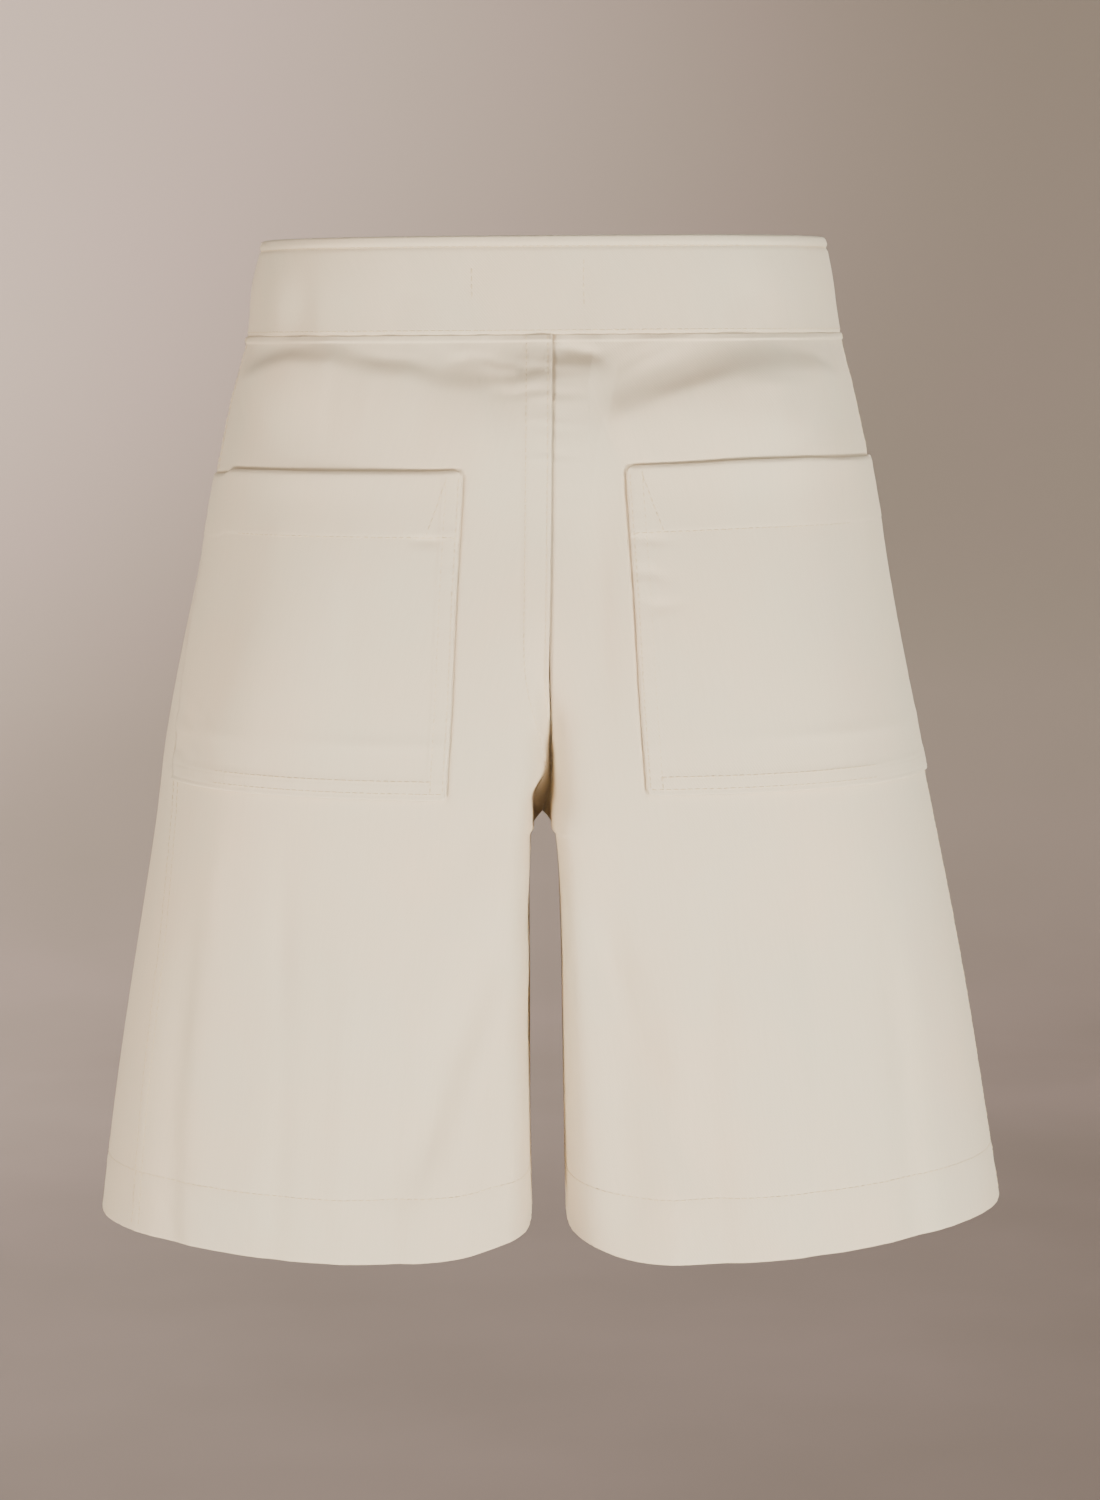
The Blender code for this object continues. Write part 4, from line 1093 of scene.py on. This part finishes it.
# ---------------------------------------------------------------- threads
def thread_rows(name, rows, finish, pitch=STITCH_PITCH, length=STITCH_LENGTH):
    """Rows of stitches in one mesh. Each row is places along it and the outward directions there. A stitch is
    three rings, drawn in to a point at each end that sinks into the cloth."""
    ring = [(math.cos(a), math.sin(a)) for a in np.linspace(0, 2 * math.pi, 7)[:-1]]
    body = [(-0.5, 0.0), (-0.32, 0.85), (0.0, 1.0), (0.32, 0.85), (0.5, 0.0)]
    count = len(ring)
    vertices, faces = [], []
    for places, outward in rows:
        run = distance_along(places)
        stitches = int(run[-1] / pitch)
        for k in range(stitches):
            middle = (k + 0.5) * run[-1] / stitches
            start, centre, end = between((middle - length / 2, middle, middle + length / 2), run, places)
            up = unit(between([middle], run, outward)[0])
            forward = (end - start) / max(np.linalg.norm(end - start), 1e-6)
            across = np.cross(up, forward)
            first = len(vertices)
            for share, swell in body:
                spot = centre + forward * share * length
                if swell == 0.0:
                    vertices.append(spot - up * THREAD_WIDTH * 0.35)
                    continue
                for c, s in ring:
                    vertices.append(spot + (across * c * 0.5 + up * s * 0.36) * THREAD_WIDTH * swell)
            last = first + 1 + 3 * count
            for j in range(count):
                n = (j + 1) % count
                faces.append((first, first + 1 + n, first + 1 + j))
                for turn in (first + 1, first + 1 + count):
                    faces.append((turn + j, turn + n, turn + count + n, turn + count + j))
                faces.append((last, last - count + j, last - count + n))
    mesh = new_mesh(name, (np.array(vertices) * MM).tolist(), faces)
    return show(name, mesh, finish)


def along_panel(side, face, z, arc):
    """Places on a panel's finished face, and the outward directions there."""
    start, end = panel_edges(side, face, z)
    lift = panel_lift(side, face, z, np.abs(arc - start), np.abs(end - arc), arc)
    return on_cloth(side, face, z, arc, lift + THREAD_LIFT)


def panel_seam_row(side, face, top, bottom, from_side=None, from_centre=None):
    """A row that keeps its distance from a panel's side seam or its middle edge."""
    z = np.arange(top, bottom, -1.5)
    start, end = panel_edges(side, face, z)
    way = TO_CENTRE[face]
    arc = start + way * from_side if from_centre is None else end - way * from_centre
    return along_panel(side, face, z, arc)


def hem_row(side, face):
    start, end = panel_edges(side, face, np.array([HEM_STITCH_Z]))
    arc = np.linspace(start[0], end[0], 160)
    return along_panel(side, face, np.full(arc.shape, HEM_STITCH_Z), arc)


def fly_row():
    """Down the fly's facing and round to the front edge."""
    turn = np.linspace(0, math.pi / 2 - 0.06, 40)
    z = np.concatenate([np.arange(BAND_BOTTOM_Z - 1, FLY_TURN, -2.0), FLY_TURN - FLY_STITCH * np.sin(turn)])
    away = np.where(z > FLY_TURN, FLY_STITCH, np.sqrt((FLY_STITCH**2 - np.maximum(FLY_TURN - z, 0) ** 2).clip(0)))
    _, end = panel_edges("left", "front", z)
    return along_panel("left", "front", z, end + away)


def panel_stitching(finish):
    top = BAND_BOTTOM_Z - 1
    rows = [hem_row(side, face) for side in SIDES for face in FACES]
    for face, second_top in (("back", top), ("front", FLY_END - 4)):
        rows.append(panel_seam_row("left", face, top, CROTCH_Z + SEAM_FADE, from_centre=FELL_EDGE))
        rows.append(panel_seam_row("left", face, second_top, CROTCH_Z + 14, from_centre=FELL_WIDTH))
    rows.append(fly_row())
    for side in SIDES:
        mouth, base = pocket_ends(side, 0.0)
        for distance in SIDE_FELL_ROWS:
            rows.append(panel_seam_row(side, "back", top, mouth + 1, from_side=distance))
            rows.append(panel_seam_row(side, "back", base - 1, HEM_Z + 1, from_side=distance))
    return thread_rows("panel_stitching", rows, finish)


def pocket_point_row(side, from_edge, from_mouth):
    """A row on a pocket through places given by their distances from its inner edge and its mouth."""
    from_edge, from_mouth = (np.asarray(v, float) for v in np.broadcast_arrays(from_edge, from_mouth))
    mouth, base = pocket_ends(side, 1.0)
    down = from_mouth / (mouth - base)
    z = mouth - from_mouth
    width = chart_line(side, "edge", z) - side_seam(side, z)
    places, outward, _, _ = pocket_places(side, 1 - from_edge / width, down, THREAD_LIFT)
    return places, outward


def pocket_stitching(side, finish):
    width, depth = 122.0, 156.0
    outside, inside = POCKET_STITCHES
    down = np.linspace(2.0, depth - outside, 90)
    over = np.linspace(outside, width, 70)
    rows = [pocket_point_row(side, row, down) for row in POCKET_STITCHES]
    rows.append(pocket_point_row(side, over, POCKET_HEM))
    rows.append(pocket_point_row(side, over, depth - outside))
    rows.append(pocket_point_row(side, over[3:], depth - inside))
    # a triangle of stitches and a bar-tack strengthen the inner corner of the mouth
    rows.append(pocket_point_row(side, np.linspace(inside, 16.0, 12), np.linspace(4.0, POCKET_HEM, 12)))
    for step in np.linspace(0, 11, 15):
        rows.append(pocket_point_row(side, np.array((3.0, 3.0)) + step, np.array((-1.1, 1.1)) + POCKET_HEM + 1.5))
    return thread_rows(f"pocket_stitching_{side}", rows, finish)


def band_stitching(finish):
    def row(s, z):
        return on_band(s, z, THREAD_LIFT)

    end = band_round(0.0) + BAND_OVER - BAND_ROW_END
    top, bottom = BAND_TOP_Z - BAND_TOP_STITCH, BAND_BOTTOM_Z + BAND_BOTTOM_STITCH
    near, far = BAND_OVER + BAND_ROW_END, BAND_OVER - BAND_ROW_END
    rows = [row(np.linspace(near, band_round(z) + far, 700), z) for z in (top, bottom)]
    up = np.linspace(bottom + 2, top - 2, 16)
    rows.append(row(np.full(up.shape, end), up))
    # the rows that hold the loop inside the back of the band
    for past_middle, high, low in ((34.0, 9.0, -6.0), (-20.0, 13.0, -10.0)):
        up = np.linspace(low, high, 12)
        rows.append(row(np.array([band_round(z) for z in up]) / 2 + past_middle, up))
    # the buttonhole: close stitches either side of a slit, and one across each end of it
    slit = band_round(0.0) - 4.0
    for side in (-1, 1):
        for x in np.arange(-12.0, 8.0, 0.55):
            rows.append(row(np.full(2, slit - x), np.array((0.5, 2.3)) * side))
    for x in (-12.6, 8.2):
        for z in np.arange(-2.2, 2.3, 0.55):
            rows.append(row(slit - np.array((x - 0.9, x + 0.9)), np.full(2, z)))
    return thread_rows("band_stitching", rows, finish)


def button_thread(finish):
    """Two bars of thread through the button's four holes."""
    low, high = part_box("waist_button")
    middle = (low + high) / 2 / MM
    up = np.array((0.0, 1.0, 0.02))
    face = high.y / MM - 1.1
    reach = 2.1 * math.cos(math.pi / 4)
    rows = []
    for side in (-1, 1):
        for shift in (-0.45, 0.0, 0.45):
            ends = [(middle.x + side * reach + shift, face, middle.z + end * reach) for end in (-1.15, 0, 1.15)]
            rows.append((np.array(ends), np.array([up] * len(ends))))
    return thread_rows("button_thread", rows, finish, pitch=3.0, length=2.4 * reach)


# ---------------------------------------------------------------- camera, light and floor
LENS_LENGTH = 94.13
CAMERA_PLACE = (0.0018, -2.0, -0.0262)
CAMERA_DOWN = 5.97  # degrees
CAMERA_LEAN = -0.007


def look_at_garment():
    """A long lens at waist height, tilted down a little, with the slight lean of a hand-held frame."""
    data = bpy.data.cameras.new("camera")
    data.sensor_width = 36.0
    data.lens = LENS_LENGTH
    camera = bpy.data.objects.new("camera", data)
    bpy.context.scene.collection.objects.link(camera)
    turn = Matrix.Rotation(math.radians(90 - CAMERA_DOWN), 4, "X") @ Matrix.Rotation(CAMERA_LEAN, 4, "Z")
    camera.matrix_world = Matrix.Translation(CAMERA_PLACE) @ turn
    bpy.context.scene.camera = camera


# The room is in metres.
FLOOR_Z = -2.0
PAINTED_FLOOR_SHADE_HEIGHT = 0.8  # above the floor, where the painted floor shade has faded out and the paper has its wall's tone
WALL_RADIUS = 12.6
WALL_TOP_Z = 6.0
SWEEP_RADIUS = 3.85
FLOOR_RINGS = (2.0, 5.0)
FLOOR_SIDES = 96
GARMENT_MIDDLE = (0.0, 0.0, -0.25)


def backdrop_paper():
    """Matt seamless paper in warm grey: no gloss at all, with painted shade that makes it a little deeper where it
    lies as a floor, and faint clouds of a rosier grey about a metre across."""
    finish, tree, shader = new_finish("matt warm grey backdrop paper")
    body = in_body(tree)
    place = add_node(tree, "ShaderNodeSeparateXYZ", links={"Vector": body})
    # painted shade: the paper is painted darker where it lies as a floor, fading to the wall's tone as it rises
    above_painted_floor_shade = ranged(tree, place.outputs["Z"], FLOOR_Z, FLOOR_Z + PAINTED_FLOOR_SHADE_HEIGHT)
    paper = mixed(tree, above_painted_floor_shade, "#8d8177", "#a39889")
    clouds = noise(tree, body, 1.1, 3.0)
    rosy = mixed(tree, ranged(tree, clouds, 0.3, 0.7, 0.35), paper, "#a6958c")
    colour_in(tree, shader, rosy, {"Roughness": 1.0, "Specular IOR Level": 0.0})
    return finish


def studio_floor():
    """A round seamless floor whose rim sweeps up into a wall all round."""
    flat = WALL_RADIUS - SWEEP_RADIUS
    turns = np.linspace(0.0, math.pi / 2, 16)
    profile = [(radius, FLOOR_Z) for radius in FLOOR_RINGS]
    profile += [(flat + SWEEP_RADIUS * math.sin(a), FLOOR_Z + SWEEP_RADIUS * (1 - math.cos(a))) for a in turns]
    profile.append((WALL_RADIUS, WALL_TOP_Z))
    around = FLOOR_SIDES
    angles = np.arange(around) * 2 * math.pi / around
    vertices = [(r * math.cos(a), r * math.sin(a), h) for r, h in profile for a in angles]
    vertices.append((0.0, 0.0, FLOOR_Z))
    faces = [((k + 1) % around, k, len(vertices) - 1) for k in range(around)]
    numbers = np.arange(len(profile) * around).reshape(-1, around)
    beside = np.roll(numbers, -1, axis=1)
    walls = np.stack([numbers[:-1], beside[:-1], beside[1:], numbers[1:]], axis=-1)
    mesh = new_mesh("studio_floor", vertices, faces + walls.reshape(-1, 4).tolist())
    mesh.shade_smooth()
    floor = bpy.data.objects.new("studio_floor", mesh)
    bpy.context.scene.collection.objects.link(floor)
    mesh.materials.append(backdrop_paper())


def add_lamp(kind, name, place, target, watts, colour, **settings):
    """A lamp turned to its target, out of the camera's sight."""
    data = bpy.data.lights.new(name, kind)
    data.energy = watts
    data.color = linear(colour)[:3]
    for setting, value in settings.items():
        setattr(data, setting, value)
    lamp = bpy.data.objects.new(name, data)
    lamp.location = place
    lamp.rotation_mode = "QUATERNION"
    lamp.rotation_quaternion = (Vector(target) - Vector(place)).to_track_quat("-Z", "Y")
    lamp.visible_camera = False
    bpy.context.scene.collection.objects.link(lamp)


def softbox(name, place, size, watts, colour, grid=180):
    """A square softbox turned to the garment. A grid on its front, given as its cone in degrees, keeps its
    light off the floor."""
    settings = {"shape": "RECTANGLE", "size": size, "size_y": size, "spread": math.radians(grid)}
    add_lamp("AREA", name, place, GARMENT_MIDDLE, watts, colour, **settings)


def backdrop_spot(name, place, target, cone, watts, colour):
    settings = {"spot_size": math.radians(cone), "spot_blend": 1.0, "shadow_soft_size": 0.3}
    add_lamp("SPOT", name, place, target, watts, colour, **settings)


def light_studio():
    softbox("low right softbox", (1.75, -2.3, -1.6), 0.8, 9.9, "#fff8e5", grid=50)
    softbox("low left softbox", (-1.75, -2.3, -1.65), 0.8, 8.8, "#fff1da", grid=50)
    softbox("front right softbox", (1.5, -3.0, 0.3), 1.6, 65, "#fff8e5")
    softbox("right side softbox", (3.4, -0.4, 0.0), 2.0, 36, "#fff8e5")
    softbox("left side softbox", (-3.4, -0.8, 0.1), 2.0, 63, "#ffebd1")
    softbox("far side softbox", (0.6, 3.4, 0.6), 2.2, 116, "#fff8e5")
    backdrop_spot("backdrop lamp", (-4.6, 6.9, 5.0), (-3.1, 12.3, 2.1), 62, 4300, "#ffeff5")
    backdrop_spot("backdrop wash", (-5.0, 4.9, 1.2), (-2.9, 12.3, -1.4), 100, 2100, "#fff4f0")
    backdrop_spot("backdrop right wash", (5.4, 4.9, 1.6), (2.7, 12.3, -0.2), 100, 1330, "#fff8f6")
    backdrop_spot("backdrop left fill", (-4.0, 6.5, 0.6), (-2.9, 12.3, -1.1), 46, 900, "#fff2f2")
    backdrop_spot("floor lamp", (-3.6, 6.0, 5.5), (-1.6, 6.4, -2.0), 80, 2950, "#fff8f6")
    world = bpy.data.worlds.new("studio air")
    bpy.context.scene.world = world
    world.use_nodes = True
    air = world.node_tree.nodes["Background"].inputs
    air["Color"].default_value = linear("#ffffff")
    air["Strength"].default_value = 0.2


def dress():
    look_at_garment()
    studio_floor()
    light_studio()
    twill = cotton_twill()
    thread = sewing_thread()
    for side in SIDES:
        for face in FACES:
            panel(side, face, twill)
        pocket(side, twill)
    waistband(twill)
    fly_shield(twill)
    closed_zip(zip_tape_weave(), moulded_acetal())
    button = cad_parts["waist_button"]
    button.data.materials.clear()
    button.data.materials.append(cast_resin())
    panel_stitching(thread)
    band_stitching(thread)
    button_thread(thread)
    for side in SIDES:
        pocket_stitching(side, thread)


dress()
